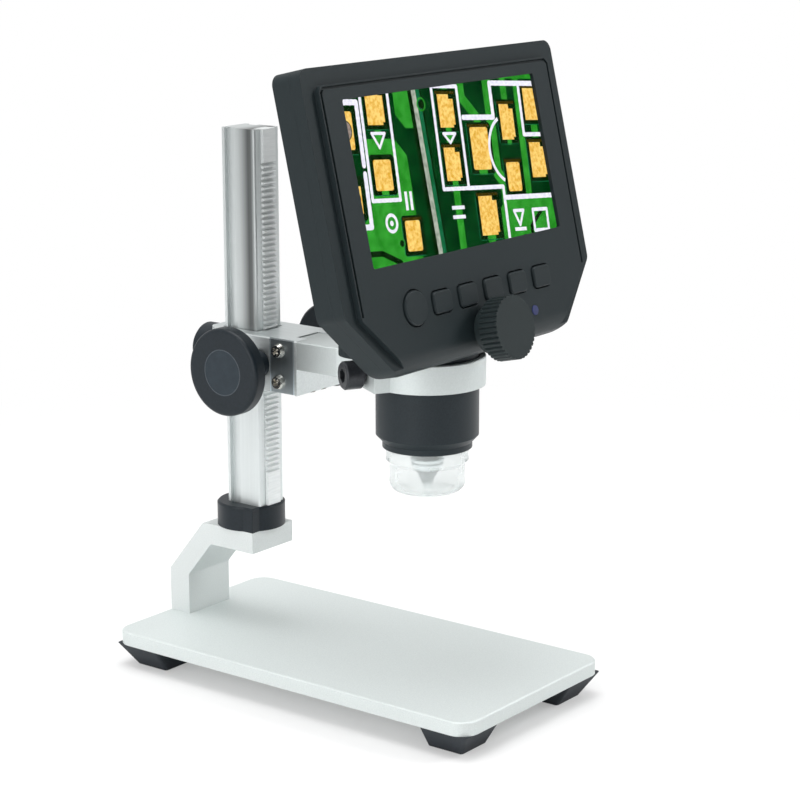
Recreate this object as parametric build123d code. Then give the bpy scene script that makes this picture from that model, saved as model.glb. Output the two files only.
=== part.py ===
from build123d import *
from math import acos, atan2, cos, pi, radians, sin, tan
import os

# LCD digital microscope on a rack-and-pinion stand.
# Millimetres. +X is the right-hand side, -Y the front (the side of the screen), +Z up.
# The origin lies on the surface the feet rest on, under the middle of the base plate.

# ---- fits and clearances -------------------------------------------------------------------
press = 0.02  # radial clearance of pieces that are pressed or glued together
fit = 0.05  # radial clearance of a shaft in its bore
slack = 0.1  # clearance between pieces that are fixed together
gap = 0.4  # clearance between pieces that move past each other
pressure_angle = radians(20)

# ---- screws --------------------------------------------------------------------------------
# countersunk: shank radius, length, head radius
bracket_screw = (2.0, 14.0, 3.8)
arm_screw = (1.25, 14.0, 2.4)
rack_screw = (1.0, 14.0, 1.9)
# pan-headed: shank radius, head radius, head height
foot_screw = (1.2, 2.6, 1.4)
side_screw = (1.25, 2.45, 1.6)
housing_screw = (1.1, 2.2, 1.6)
board_screw = (0.9, 1.9, 1.2)
barrel_screw = (0.9, 1.4, 1.2)
pan_taper = 0.78  # top of a pan head, as a share of its radius
foot_screw_bite = 3.0  # length of thread in what the screw holds to
side_screw_length = 7.0
housing_screw_bite = 1.8
board_screw_bite = 3.6
barrel_screw_bite = 1.2
column_screw_radius = 2.5
column_screw_head = 4.2
column_screw_height = 2.8
column_screw_socket = 1.5
set_screw_radius = 1.2
set_screw_length = 1.7

# ---- base plate, feet and bracket ----------------------------------------------------------
plate_length = 143.0
plate_width = 74.0
plate_thickness = 4.5
plate_corner = 6.0
plate_edge = 0.4
foot_height = 7.5
foot_top = 17.5
foot_sole = 12.8
foot_inner_x = 19.1  # inner faces, from the middle
foot_inner_y = 53.5
foot_corner = 1.0
foot_recess = 2.4  # sinks the screw head
bracket_width = 20.0
bracket_height = 33.2  # above the plate
bracket_bend_height = 14.8
bracket_slope_run = 15.2
bracket_thickness = 7.0
bracket_leg_thickness = 8.3
bracket_rear_inset = 0.5  # from the plate's rear edge
bracket_reach = 36.9  # from the back of the leg to the front end
bracket_bend_radius = 1.5
bracket_screw_x = 6.0  # either side of the middle

# ---- column, collar and rack ---------------------------------------------------------------
column_width = 12.0
column_depth = 14.0
column_inset = 7.1  # middle of the extrusion, from the bracket's front end
column_height = 131.3
column_corner = 0.8
flute_depth = 1.5
flute_width = 4.2
flute_from_back = 1.5
column_screw_grip = 8.0
collar_radius = 11.2
collar_offset = 2.0  # behind the middle of the column
collar_height = 8.1
collar_edge = 0.6
rack_width = 6.0
rack_thickness = 4.2
rack_seat_depth = 3.0
rack_module = 0.55
rack_bare_low = 11.0  # without teeth, at the lower end at least
rack_bare_top = 10.5
tooth_height = 0.85  # addendum, in modules
root_depth = 1.15  # dedendum, in modules
rack_screw_inset = 4.0  # from the rack's ends
backlash = 0.1
pinion_teeth = 16

# ---- carriage and arm ----------------------------------------------------------------------
carriage_half = 11.0
carriage_height = 17.7
carriage_bottom = 94.2
carriage_reach = 27.5  # front face, from the middle of the column
carriage_shoulder = 6.3  # behind it
carriage_back = 11.9
carriage_back_half = 6.4
carriage_edge = 0.3
channel_inset = 1.0
channel_depth = 1.0
channel_web = 0.25  # between the channel and the bush
side_screw_inset = 3.9  # from the channel's rear edge
side_screw_half_pitch = 5.1
tongue_half = 5.4
tongue_length = 4.4
arm_height = 9.0
arm_waist = 16.2  # in front of the carriage
arm_neck_half = 9.0
ring_wall = 2.0
clamp_angle = 30.0  # behind the left-hand side
clamp_pad_reach = 5.0  # beyond the barrel
clamp_pad_half = 8.5
clamp_screw_radius = 2.5
clamp_head_radius = 4.4
clamp_head_length = 6.4
clamp_head_chamfer = 0.5
clamp_head_draft = 1.0  # at the inner end
clamp_socket_flats = 4.0
clamp_socket_depth = 3.5
clamp_standoff = 0.6

# ---- pinion shaft, focusing knobs and column lock --------------------------------------------
shaft_radius = 2.5
bush_radius = 4.0
pinion_width = 6.0
knob_radius = 14.0
knob_thickness = 5.0
knob_face_x = 28.9
knob_round = 1.2
knob_rear_chamfer = 0.6
knob_hub_radius = 4.5
set_screw_from_end = 3.0
knob_cap_radius = 7.3
knob_cap_thickness = 1.0
lock_knob_radius = 7.75
lock_knob_thickness = 7.3
lock_knob_gap = 1.4
lock_knob_chamfer = 1.1
lock_screw_reach = 5.0  # into the knob
lock_screw_radius = 2.5
lock_pad_radius = 2.3
lock_pad_thickness = 1.5
lock_pad_clear = 0.15  # from the column, when loose

# ---- optical tube ----------------------------------------------------------------------------
axis_reach = 43.2  # optical axis, in front of the carriage
barrel_radius = 16.0
barrel_wall = 1.7
barrel_tip = 82.9  # height of its lower end
barrel_foot_radius = 13.95
barrel_foot_height = 1.8
barrel_taper_height = 2.2
barrel_mouth = 11.2
barrel_lip = 1.5
led_seat_radius = 12.5
flange_reach = 5.0  # beyond the barrel: at its corners, its sides and its back
flange_side_reach = 3.6
flange_back_reach = 3.2
flange_front = -6.0  # from the optical axis
barrel_screw_reach = 1.7
barrel_screw_y = 3.0
nose_depth = 14.0
nose_radius = 11.8
nose_flange_radius = 12.85
nose_flange_height = 4.0
nose_taper = 1.3
nose_round = 3.0
nose_cone_top = 2.6  # radii of the light cone
nose_cone_end = 1.1
nose_cone_length = 5.0
lens_tube_radius = 6.0
lens_tube_bore = 4.6
lens_tube_bottom = 79.3
lens_tube_top = 124.5
lens_cell_radius = 3.2  # the slim end that carries the front lens
lens_cell_bore = 2.5
front_lens_height = 1.8  # above the cell's lower end
rear_lens_height = 14.0
lens_shoulder = 1.4
sleeve_wall = 1.8
sleeve_height = 14.0
sleeve_web = 2.5
sleeve_rise = 2.1  # above the start of the barrel's full bore
led_count = 8
led_circle = 9.4
led_size = 2.4
led_height = 1.0
led_board_thickness = 1.2
sensor_half = 3.4
sensor_height = 1.0
sensor_board_half = (14.0, 12.0)
sensor_plate_half = 16.6
sensor_plate_front = -7.0
sensor_plate_back = 8.5
sensor_plate_thickness = 1.5
sensor_hole_radius = 5.0
sensor_leg = 2.0

# ---- head ------------------------------------------------------------------------------------
lean = 13.2  # degrees, top to the rear
screen_setback = 5.0  # centre of the screen, behind the barrel's foremost line
screen_z = 170.4
head_half = 62.2
head_top = 34.3
head_bottom = -56.6
head_depth = 12.0
side_corner_v = -36.0
base_half = 42.5
panel_step = 1.7  # the front panel stands proud of the rim
panel_half = 57.0
panel_top = 29.0
panel_corner_v = -37.5
panel_base_half = 38.0
roll_radius = 7.0
room_chamfer = 4.0  # inside the rolled bottom edge
top_edge_radius = 0.8
wall = 2.0
parting = 5.6  # depth of the joint between bezel and rear shell
window_width = 95.0
window_height = 48.7
window_margin = 1.6
window_thickness = 0.8
window_recess = 1.2
window_corner = 0.8
lcd_width = 105.0
lcd_height = 53.6
lcd_thickness = 2.8
lcd_corner = 1.0
board_half = 53.0
board_top = 30.0
board_bottom = -41.5
board_notch = 3.5
board_notch_top = -35.0
board_front = 5.1
board_thickness = 1.2
board_screw_u = 45.0
board_screw_v = -31.6
board_post_radius = 2.2
battery_half = 17.0
battery_top = 12.0
battery_bottom = -30.0
battery_thickness = 8.0
battery_corner = 2.5
usb_v = 12.0
usb_width = 7.6
usb_height = 2.7
card_v = -6.0
card_width = 12.0
card_height = 1.6
socket_length = 7.0
socket_depth = 5.0
socket_wall = 0.4
button_row_v = -37.9
button_pitch = 12.9
button_width = 8.8
button_height = 6.6
button_corner = 1.5
power_radius = 5.2
button_proud = 0.8
button_travel = 0.4
button_lip = 0.8
button_chamfer = 0.35
button_stem_radius = 1.2
button_stem_length = 0.5
switch_half = 2.2
switch_plunger_radius = 1.0
switch_plunger = 0.3
indicator_u = 26.2
indicator_v = -47.7
indicator_radius = 1.5
indicator_collar = 0.5
indicator_proud = 0.2
bulge_side_reach = 2.4  # beyond the barrel's flange
bulge_back_reach = 2.3
bulge_corner = 8.0
bulge_clearance = 0.5  # above the ring
bulge_knee_rise = 38.0  # height of its upright back
bulge_rise = 78.0
bulge_bottom_radius = 3.0
bulge_knee_radius = 16.0
flange_thickness = 1.8
housing_screw_u = 57.4
housing_screw_top_v = 28.6
housing_screw_low_v = -31.0
post_radius = 3.2
screw_seat = 9.4  # depth the screw heads stand on

# ---- focus wheel and lens drive -----------------------------------------------------------------
wheel_v = -49.8
wheel_radius = 9.75
wheel_front = -10.6  # depth, so in front of the panel
wheel_back = -4.2
wheel_grooves = 38
wheel_neck_radius = 7.0
wheel_shaft_radius = 2.0
wheel_bore_depth = 2.5  # from the face to the end of the shaft's bore
wheel_boss_radius = 4.3
wheel_groove_side = 0.65  # square notch, set corner in
lens_module = 0.5
lens_pinion_teeth = 12
lens_pinion_front = 12.0
lens_pinion_back = 15.5
lens_travel = 3.0
lens_rack_gaps = 3  # either side of the middle
lens_rack_reach = 3.0  # beyond the travel
lens_web = 2.3
lens_web_clear = 4.3  # from the barrel's bore

# ---- heights and places that follow from these -----------------------------------------------
plate_top = foot_height + plate_thickness
bracket_top = plate_top + bracket_height
bracket_back_y = plate_length / 2 - bracket_rear_inset
bracket_front_y = bracket_back_y - bracket_reach
leg_mid_y = bracket_back_y - bracket_leg_thickness / 2
column_y = bracket_front_y + column_inset
collar_y = column_y + collar_offset
collar_top = bracket_top + collar_height
column_top = bracket_top + column_height
column_front_y = column_y - column_depth / 2
column_back_y = column_y + column_depth / 2
rack_back_y = column_front_y + rack_seat_depth
rack_front_y = rack_back_y - rack_thickness
carriage_front_y = column_y - carriage_reach
carriage_shoulder_y = column_y + carriage_shoulder
carriage_back_y = column_y + carriage_back
carriage_top = carriage_bottom + carriage_height
arm_bottom = carriage_top - arm_height
shaft_z = carriage_bottom + carriage_height / 2
pinion_radius = rack_module * pinion_teeth / 2
rack_pitch_y = rack_front_y + tooth_height * rack_module
shaft_y = rack_pitch_y - pinion_radius
rack_gap_pitch = pi * rack_module
rack_gaps_below = int((shaft_z - collar_top - rack_bare_low) / rack_gap_pitch)
rack_gaps_above = int((column_top - shaft_z - rack_bare_top) / rack_gap_pitch)
channel_back_y = shaft_y - bush_radius - channel_web
axis_y = carriage_front_y - axis_reach
arm_waist_y = carriage_front_y - arm_waist
ring_bore = barrel_radius + fit
ring_radius = ring_bore + ring_wall
ring_mid_z = arm_bottom + arm_height / 2
clamp_pad_radius = barrel_radius + clamp_pad_reach
bulge_bottom = carriage_top + bulge_clearance
bulge_floor = bulge_bottom + wall
flange_top = bulge_floor + flange_thickness
flange_radius = barrel_radius + flange_reach
flange_half = barrel_radius + flange_side_reach
flange_back = barrel_radius + flange_back_reach
barrel_screw_x = barrel_radius + barrel_screw_reach
bulge_half = flange_half + bulge_side_reach
bulge_back_y = axis_y + flange_back + bulge_back_reach
lens_pinion_radius = lens_module * lens_pinion_teeth / 2
board_back = board_front + board_thickness
socket_end = head_half - wall - slack
sensor_plate_bottom = lens_tube_top + lens_travel + 1.0
sensor_plate_top = sensor_plate_bottom + sensor_plate_thickness
bracket_under = bracket_top - bracket_thickness
barrel_inner = barrel_radius - barrel_wall
nose_bottom = barrel_tip - nose_depth
nose_bore_end = lens_tube_bottom - lens_travel - gap
seat_top = barrel_tip + barrel_foot_height + barrel_taper_height + barrel_wall
barrel_bore_start = seat_top + barrel_inner - led_seat_radius
sleeve_bottom = barrel_bore_start + sleeve_rise
led_board_bottom = barrel_tip + barrel_lip
led_board_top = led_board_bottom + led_board_thickness
lens_cell_top = led_board_top + gap + lens_travel
button_us = [(i - 2.5) * button_pitch for i in range(6)]
screen_y = axis_y - barrel_radius + screen_setback
head = Location((0, screen_y, screen_z), (-lean, 0, 0))


# ---- helpers -----------------------------------------------------------------------------------
def box(x0, x1, y0, y1, z0, z1):
    return Pos((x0 + x1) / 2, (y0 + y1) / 2, (z0 + z1) / 2) * Box(x1 - x0, y1 - y0, z1 - z0)


def rod_z(radius, z0, z1, x=0, y=0):
    return Pos(x, y, (z0 + z1) / 2) * Cylinder(radius, z1 - z0)


def rod_x(radius, x0, x1, y, z):
    return Pos((x0 + x1) / 2, y, z) * Rot(0, 90, 0) * Cylinder(radius, x1 - x0)


def rod_y(radius, y0, y1, x, z):
    return Pos(x, (y0 + y1) / 2, z) * Rot(90, 0, 0) * Cylinder(radius, y1 - y0)


def tube_z(outer, inner, z0, z1, x=0, y=0):
    return rod_z(outer, z0, z1, x, y) - rod_z(inner, z0 - 1, z1 + 1, x, y)


def round_corners(face, corners):
    """Rounds the corner of a face nearest to each (x, y) with its radius."""
    for x, y, radius in corners:
        corner = face.vertices().sort_by_distance((x, y, 0))[0]
        face = fillet([corner], radius)
    return face


def side_profile(face, half_width):
    """A face drawn in Y and Z, extruded evenly to both sides."""
    return extrude(Plane.YZ * face, amount=half_width, both=True)


def plan_slab(face, z0, z1):
    return Pos(0, 0, z0) * extrude(face, amount=z1 - z0, dir=(0, 0, 1))


def front_slab(face, depth0, depth1):
    """A face drawn across the head (u to the right, v up), between two depths behind its front."""
    plane = Plane(origin=(0, depth1, 0), x_dir=(1, 0, 0), z_dir=(0, -1, 0))
    return extrude(plane * face, amount=depth1 - depth0, dir=(0, -1, 0))


def pan_screw(screw, length):
    """Pan-head screw along -Z from the origin, its tapered head above."""
    radius, head_radius, head_height = screw
    crown = Pos(0, 0, head_height / 2) * Cone(head_radius, head_radius * pan_taper, head_height)
    return crown + rod_z(radius, -length, 0)


def flat_screw(radius, length, head_radius):
    """Countersunk screw along -Z, the flat of its head at the origin."""
    cone_height = head_radius - radius
    cone = Pos(0, 0, -cone_height / 2) * Cone(radius, head_radius, cone_height)
    return cone + rod_z(radius, -length, -cone_height / 2)


def flat_screw_hole(radius, length, head_radius):
    return flat_screw(radius + slack, length + slack, head_radius + slack)


def gear_face(module, teeth, turn=0.0):
    """Involute gear about the origin, with a tooth along the sketch's +X."""
    pitch = module * teeth / 2
    base = pitch * cos(pressure_angle)
    tip = pitch + tooth_height * module
    root = pitch - root_depth * module
    half = (pi * module / 2 - backlash) / 2 / pitch + tan(pressure_angle) - pressure_angle

    def flank(radius):
        roll = acos(base / radius)
        return radius, half - (tan(roll) - roll)

    steps = [(root, half)] + [flank(base + (tip - base) * i / 3) for i in range(4)]
    points = []
    for tooth in range(teeth):
        middle = turn + 2 * pi * tooth / teeth
        points += [(r * cos(middle - a), r * sin(middle - a)) for r, a in steps]
        points += [(r * cos(middle + a), r * sin(middle + a)) for r, a in reversed(steps)]
    return Polygon(*points, align=None)


def rack_face(module, gaps_below, gaps_above, back, low, high):
    """Rack with its pitch line on x = 0, teeth towards -X and a gap centred on y = 0."""
    pitch = pi * module
    tip = -tooth_height * module
    root = root_depth * module
    mouth = pitch / 4 + backlash / 2 - tip * tan(pressure_angle)
    floor = pitch / 4 + backlash / 2 - root * tan(pressure_angle)
    points = [(back, low), (tip, low)]
    for number in range(-gaps_below, gaps_above + 1):
        y = number * pitch
        points += [(tip, y - mouth), (root, y - floor), (root, y + floor), (tip, y + mouth)]
    return Polygon(*points, (tip, high), (back, high), align=None)


# ---- stand -------------------------------------------------------------------------------------
def foot_places():
    x = foot_inner_x + foot_sole / 2
    y = foot_inner_y + foot_sole / 2
    return [(side_x * x, side_y * y) for side_x in (-1, 1) for side_y in (-1, 1)]


def bracket_screw_places():
    return [(side * bracket_screw_x, leg_mid_y) for side in (-1, 1)]


def make_base_plate():
    plate = plan_slab(RectangleRounded(plate_width, plate_length, plate_corner), foot_height, plate_top)
    plate = chamfer(plate.edges().group_by(Axis.Z)[-1], plate_edge)
    for x, y in bracket_screw_places():
        plate -= Pos(x, y, foot_height) * Rot(180, 0, 0) * flat_screw_hole(*bracket_screw)
    for x, y in foot_places():
        plate -= rod_z(foot_screw[0] + fit, foot_height, foot_height + foot_screw_bite + gap, x, y)
    return plate


def make_feet():
    """Rubber feet, upright on their inner sides and drafted on the outer ones."""
    radius, head_radius, _ = foot_screw
    feet = []
    for x, y in foot_places():
        shift = (foot_top - foot_sole) / 2
        sole = Plane.XY * RectangleRounded(foot_sole, foot_sole, foot_corner)
        middle = Pos(shift if x > 0 else -shift, shift if y > 0 else -shift)
        top = Plane.XY.offset(foot_height) * middle * RectangleRounded(foot_top, foot_top, foot_corner)
        foot = loft([sole, top]) - rod_z(head_radius + gap, -1, foot_recess)
        feet.append(Pos(x, y, 0) * (foot - rod_z(radius + slack, 0, foot_height + 1)))
    return feet


def make_foot_screws():
    screw = Rot(180, 0, 0) * pan_screw(foot_screw, foot_height - foot_recess + foot_screw_bite)
    return [Pos(x, y, foot_recess) * screw for x, y in foot_places()]


def bracket_face():
    """Side view of the gooseneck: a leg, a slope and a level block of even thickness."""
    low = (bracket_back_y, plate_top + bracket_bend_height)
    high = (bracket_back_y - bracket_slope_run, bracket_top)
    run = high[0] - low[0]
    rise = high[1] - low[1]
    length = (run**2 + rise**2) ** 0.5
    shift_y = -rise / length * bracket_thickness
    shift_z = run / length * bracket_thickness
    leg_front = bracket_back_y - bracket_leg_thickness
    inner_low = (leg_front, low[1] + shift_z + (leg_front - low[0] - shift_y) * rise / run)
    inner_high = (low[0] + shift_y + (bracket_under - low[1] - shift_z) * run / rise, bracket_under)
    outline = [
        (bracket_back_y, plate_top),
        low,
        high,
        (bracket_front_y, bracket_top),
        (bracket_front_y, bracket_under),
        inner_high,
        inner_low,
        (leg_front, plate_top),
    ]
    bends = [(*point, bracket_bend_radius) for point in (low, high, inner_high, inner_low)]
    return round_corners(Polygon(*outline, align=None), bends)


def make_bracket():
    bracket = side_profile(bracket_face(), bracket_width / 2)
    for x, y in bracket_screw_places():
        bracket -= Pos(x, y, foot_height) * Rot(180, 0, 0) * flat_screw_hole(*bracket_screw)
    seat = bracket_under + gap + column_screw_height
    bracket -= rod_z(column_screw_head + 2 * slack, bracket_under - 1, seat, 0, column_y)
    return bracket - rod_z(column_screw_radius + slack, bracket_under, bracket_top + 1, 0, column_y)


def make_bracket_screws():
    screw = Rot(180, 0, 0) * flat_screw(*bracket_screw)
    return [Pos(x, y, foot_height) * screw for x, y in bracket_screw_places()]


def column_face():
    """Extruded section: a fluted bar with a seat for the rack down its front."""
    bar = RectangleRounded(column_width, column_depth, column_corner)
    flute_y = column_depth / 2 - flute_from_back - flute_width / 2
    flute = Rectangle(flute_depth, flute_width)
    for side in (-1, 1):
        bar -= Pos(side * (column_width - flute_depth) / 2, flute_y) * flute
    seat = Rectangle(rack_width + 2 * fit, rack_seat_depth)
    bar -= Pos(0, (rack_seat_depth - column_depth) / 2) * seat
    return Pos(0, column_y) * bar


def make_column():
    column = plan_slab(column_face(), bracket_top, column_top)
    end = bracket_top + column_screw_grip + 1
    column -= rod_z(column_screw_radius + slack, bracket_top - 1, end, 0, column_y)
    for z in rack_screw_heights():
        column -= Pos(0, column_back_y, z) * Rot(-90, 0, 0) * flat_screw_hole(*rack_screw)
    return column


def make_column_screw():
    low = bracket_under + gap
    seat = low + column_screw_height
    screw = rod_z(column_screw_head, low, seat, 0, column_y)
    screw += rod_z(column_screw_radius, seat, bracket_top + column_screw_grip, 0, column_y)
    socket = Plane.XY.offset(low) * Pos(0, column_y) * RegularPolygon(column_screw_socket, 6)
    return screw - extrude(socket, amount=column_screw_height / 2)


def make_collar():
    plan = Pos(0, collar_y) * Circle(collar_radius)
    half = bracket_width / 2
    plan += Pos(-half / 2, (bracket_front_y + collar_y) / 2) * Rectangle(half, collar_y - bracket_front_y)
    collar = plan_slab(plan, bracket_top, collar_top)
    collar = chamfer(collar.edges().group_by(Axis.Z)[-1], collar_edge)
    width, depth = column_width + 2 * slack, column_depth + 2 * slack
    pocket = Pos(0, column_y) * RectangleRounded(width, depth, column_corner + slack)
    return collar - plan_slab(pocket, bracket_top - 1, collar_top + 1)


def rack_screw_heights():
    return (collar_top + rack_screw_inset, column_top - rack_screw_inset)


def make_rack():
    teeth = rack_face(
        rack_module,
        rack_gaps_below,
        rack_gaps_above,
        rack_back_y - rack_pitch_y,
        collar_top - shaft_z,
        column_top - shaft_z,
    )
    rack = side_profile(Pos(rack_pitch_y, shaft_z) * teeth, rack_width / 2)
    for z in rack_screw_heights():
        rack -= rod_y(rack_screw[0] + slack, column_back_y - rack_screw[1] - gap, column_back_y, 0, z)
    return rack


def make_rack_screws():
    screw = Rot(-90, 0, 0) * flat_screw(*rack_screw)
    return [Pos(0, column_back_y, z) * screw for z in rack_screw_heights()]


# ---- carriage ------------------------------------------------------------------------------------
def side_screw_places():
    y = channel_back_y - side_screw_inset
    return [(y, shaft_z + side * side_screw_half_pitch) for side in (-1, 1)]


def arm_screw_places():
    return [(side * tongue_half / 2, carriage_front_y + tongue_length / 2) for side in (-1, 1)]


def pinion_room():
    radius = pinion_radius + tooth_height * rack_module + gap + slack
    return rod_x(radius, -pinion_width / 2 - gap, pinion_width / 2 + gap, shaft_y, shaft_z)


def make_carriage_block():
    corners = [
        (-carriage_half, carriage_front_y),
        (carriage_half, carriage_front_y),
        (carriage_half, carriage_shoulder_y),
        (carriage_back_half, carriage_back_y),
        (-carriage_back_half, carriage_back_y),
        (-carriage_half, carriage_shoulder_y),
    ]
    block = plan_slab(Polygon(*corners, align=None), carriage_bottom, carriage_top)
    block = chamfer(block.edges().group_by(Axis.Z)[-1] + block.edges().group_by(Axis.Z)[0], carriage_edge)
    low, high = carriage_bottom - 1, carriage_top + 1
    side = column_width / 2 + gap
    block -= box(-side, side, column_front_y - gap, column_back_y + gap, low, high)
    side = rack_width / 2 + gap
    block -= box(-side, side, rack_front_y - gap, column_y, low, high) + pinion_room()
    block -= rod_x(bush_radius + fit, -carriage_half - 1, carriage_half + 1, shaft_y, shaft_z)
    block -= rod_y(lock_screw_radius + fit, column_back_y, carriage_back_y + 1, 0, shaft_z)
    front = carriage_front_y
    block -= box(-tongue_half, tongue_half, front - 1, front + tongue_length, arm_bottom, high)
    y0, y1 = front + channel_inset, channel_back_y
    block -= box(-carriage_half - 1, -carriage_half + channel_depth, y0, y1, low, high)
    for y, z in side_screw_places():
        end = -carriage_half + side_screw_length + gap
        block -= rod_x(side_screw[0] + fit, -carriage_half - 1, end, y, z)
    for x, y in arm_screw_places():
        block -= Pos(x, y, carriage_bottom) * Rot(180, 0, 0) * flat_screw_hole(*arm_screw)
    return block


def arm_plan():
    back = carriage_front_y
    arm = Polygon(
        (-carriage_half, back),
        (-carriage_half, arm_waist_y),
        (-arm_neck_half, axis_y + ring_bore),
        (arm_neck_half, axis_y + ring_bore),
        (carriage_half, arm_waist_y),
        (carriage_half, back),
        align=None,
    )
    arm += Pos(0, axis_y) * Circle(ring_radius)
    pad = Pos(-clamp_pad_radius / 2, 0) * Rectangle(clamp_pad_radius, 2 * clamp_pad_half)
    arm += Pos(0, axis_y) * Rot(0, 0, -clamp_angle) * pad
    return arm - Pos(0, axis_y) * Circle(ring_bore)


def clamp_frame():
    """The clamping screw's line: from the optical axis outwards, along the frame's +Z."""
    outward = (-cos(radians(clamp_angle)), sin(radians(clamp_angle)), 0)
    return Plane(origin=(0, axis_y, ring_mid_z), x_dir=(0, 0, 1), z_dir=outward).location


def make_ring_arm():
    arm = plan_slab(arm_plan(), arm_bottom, carriage_top)
    arm = chamfer(arm.edges().group_by(Axis.Z)[-1], carriage_edge)
    back = carriage_front_y + tongue_length - gap
    tongue = tongue_half - slack
    arm += box(-tongue, tongue, carriage_front_y - 1, back, arm_bottom, carriage_top - carriage_edge)
    for x, y in arm_screw_places():
        arm -= rod_z(arm_screw[0] + slack, arm_bottom - 1, carriage_bottom + arm_screw[1] + gap, x, y)
    hole = Pos(0, 0, clamp_pad_radius) * Cylinder(clamp_screw_radius + fit, clamp_pad_radius)
    return arm - clamp_frame() * hole


def make_arm_screws():
    screw = Rot(180, 0, 0) * flat_screw(*arm_screw)
    return [Pos(x, y, carriage_bottom) * screw for x, y in arm_screw_places()]


def make_side_plate():
    y0 = carriage_front_y + channel_inset + fit
    y1 = channel_back_y - fit
    x0 = -carriage_half
    z0, z1 = carriage_bottom + carriage_edge, carriage_top - carriage_edge
    plate = box(x0, x0 + channel_depth, y0, y1, z0, z1)
    for y, z in side_screw_places():
        plate -= rod_x(side_screw[0] + fit, -carriage_half - 1, 0, y, z)
    return plate


def make_side_plate_screws():
    screw = Rot(0, -90, 0) * pan_screw(side_screw, side_screw_length)
    return [Pos(-carriage_half, y, z) * screw for y, z in side_screw_places()]


def make_shaft_bushes():
    inner = pinion_width / 2 + gap
    bush = rod_x(bush_radius, inner, carriage_half, shaft_y, shaft_z)
    bush -= rod_x(shaft_radius + fit, 0, carriage_half + 1, shaft_y, shaft_z)
    return [bush, mirror(bush, Plane.YZ)]


def lock_tip_y():
    return column_back_y + lock_pad_clear + lock_pad_thickness + slack


def make_lock_pad():
    y0 = column_back_y + lock_pad_clear
    return rod_y(lock_pad_radius, y0, y0 + lock_pad_thickness, 0, shaft_z)


# ---- pinion, knobs, lock and clamp ------------------------------------------------------------
def make_pinion():
    face = gear_face(rack_module, pinion_teeth) - Circle(shaft_radius + press)
    return side_profile(Pos(shaft_y, shaft_z) * face, pinion_width / 2)


def make_pinion_shaft():
    end = knob_face_x - knob_cap_thickness - slack
    return rod_x(shaft_radius, -end, end, shaft_y, shaft_z)


def make_right_knob():
    """Disc, hub and a recess for the cap, revolved about the shaft."""
    inner = carriage_half + gap
    back = knob_face_x - knob_thickness
    recess = knob_face_x - knob_cap_thickness
    outline = Polygon(
        (shaft_radius + press, inner),
        (knob_hub_radius, inner),
        (knob_hub_radius, back),
        (knob_radius - knob_rear_chamfer, back),
        (knob_radius, back + knob_rear_chamfer),
        (knob_radius, knob_face_x),
        (knob_cap_radius + slack, knob_face_x),
        (knob_cap_radius + slack, recess),
        (shaft_radius + press, recess),
        align=None,
    )
    outline = round_corners(outline, [(knob_radius, knob_face_x, knob_round)])
    knob = revolve(Plane.XZ * outline, Axis.Z)
    knob -= rod_x(set_screw_radius + fit, 0, knob_hub_radius + 1, 0, inner + set_screw_from_end)
    return Pos(0, shaft_y, shaft_z) * Rot(0, 90, 0) * knob


def make_knob_caps():
    recess = knob_face_x - knob_cap_thickness
    cap = rod_x(knob_cap_radius, recess, knob_face_x, shaft_y, shaft_z)
    cap = chamfer(cap.edges().group_by(Axis.X)[-1], knob_cap_thickness / 4)
    return [cap, mirror(cap, Plane.YZ)]


def make_knob_set_screws():
    x = carriage_half + gap + set_screw_from_end
    z0 = shaft_z - knob_hub_radius + slack
    return [rod_z(set_screw_radius, z0, z0 + set_screw_length, side * x, shaft_y) for side in (-1, 1)]


def make_lock_knob():
    y0 = carriage_back_y + lock_knob_gap
    knob = rod_y(lock_knob_radius, y0, y0 + lock_knob_thickness, 0, shaft_z)
    knob = chamfer(knob.edges().filter_by(GeomType.CIRCLE), lock_knob_chamfer)
    return knob - rod_y(lock_screw_radius + press, y0 - 1, y0 + lock_screw_reach, 0, shaft_z)


def make_lock_screw():
    end = carriage_back_y + lock_knob_gap + lock_screw_reach
    return rod_y(lock_screw_radius, lock_tip_y(), end, 0, shaft_z)


def make_clamp_screw():
    start = clamp_pad_radius + clamp_standoff
    end = start + clamp_head_length
    tip = barrel_radius + gap
    outline = Polygon(
        (0, tip),
        (clamp_screw_radius, tip),
        (clamp_screw_radius, start),
        (clamp_head_radius - clamp_head_draft, start),
        (clamp_head_radius, start + clamp_head_draft),
        (clamp_head_radius, end - clamp_head_chamfer),
        (clamp_head_radius - clamp_head_chamfer, end),
        (0, end),
        align=None,
    )
    screw = revolve(Plane.XZ * outline, Axis.Z)
    socket = RegularPolygon(clamp_socket_flats / 2, 6, major_radius=False)
    screw -= Pos(0, 0, end - clamp_socket_depth) * extrude(socket, amount=clamp_socket_depth + 1)
    return clamp_frame() * screw


# ---- head: housing -----------------------------------------------------------------------------
def shield_face(inset, half, top, corner_v, low_half, radii):
    """Front view of the head, square at the top with cut lower corners, drawn in by an inset."""
    cut = atan2(half - low_half, corner_v - head_bottom)
    drop = inset * tan(cut / 2)
    side = half - inset
    low_side = low_half - inset * tan((pi / 2 - cut) / 2)
    corners = [
        (-side, top - inset),
        (-side, corner_v + drop),
        (-low_side, head_bottom + inset),
        (low_side, head_bottom + inset),
        (side, corner_v + drop),
        (side, top - inset),
    ]
    r_top, r_side, r_base = [radius - inset for radius in radii]
    around = [r_top, r_side, r_base, r_base, r_side, r_top]
    rounds = [(*corner, radius) for corner, radius in zip(corners, around) if radius >= wall]
    return round_corners(Polygon(*corners, align=None), rounds)


def rim_face(inset=0.0):
    return shield_face(inset, head_half, head_top, side_corner_v, base_half, (3.5, 3.0, 12.0))


def panel_face(inset=0.0):
    return shield_face(inset, panel_half, panel_top, panel_corner_v, panel_base_half, (2.5, 2.5, 8.0))


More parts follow.
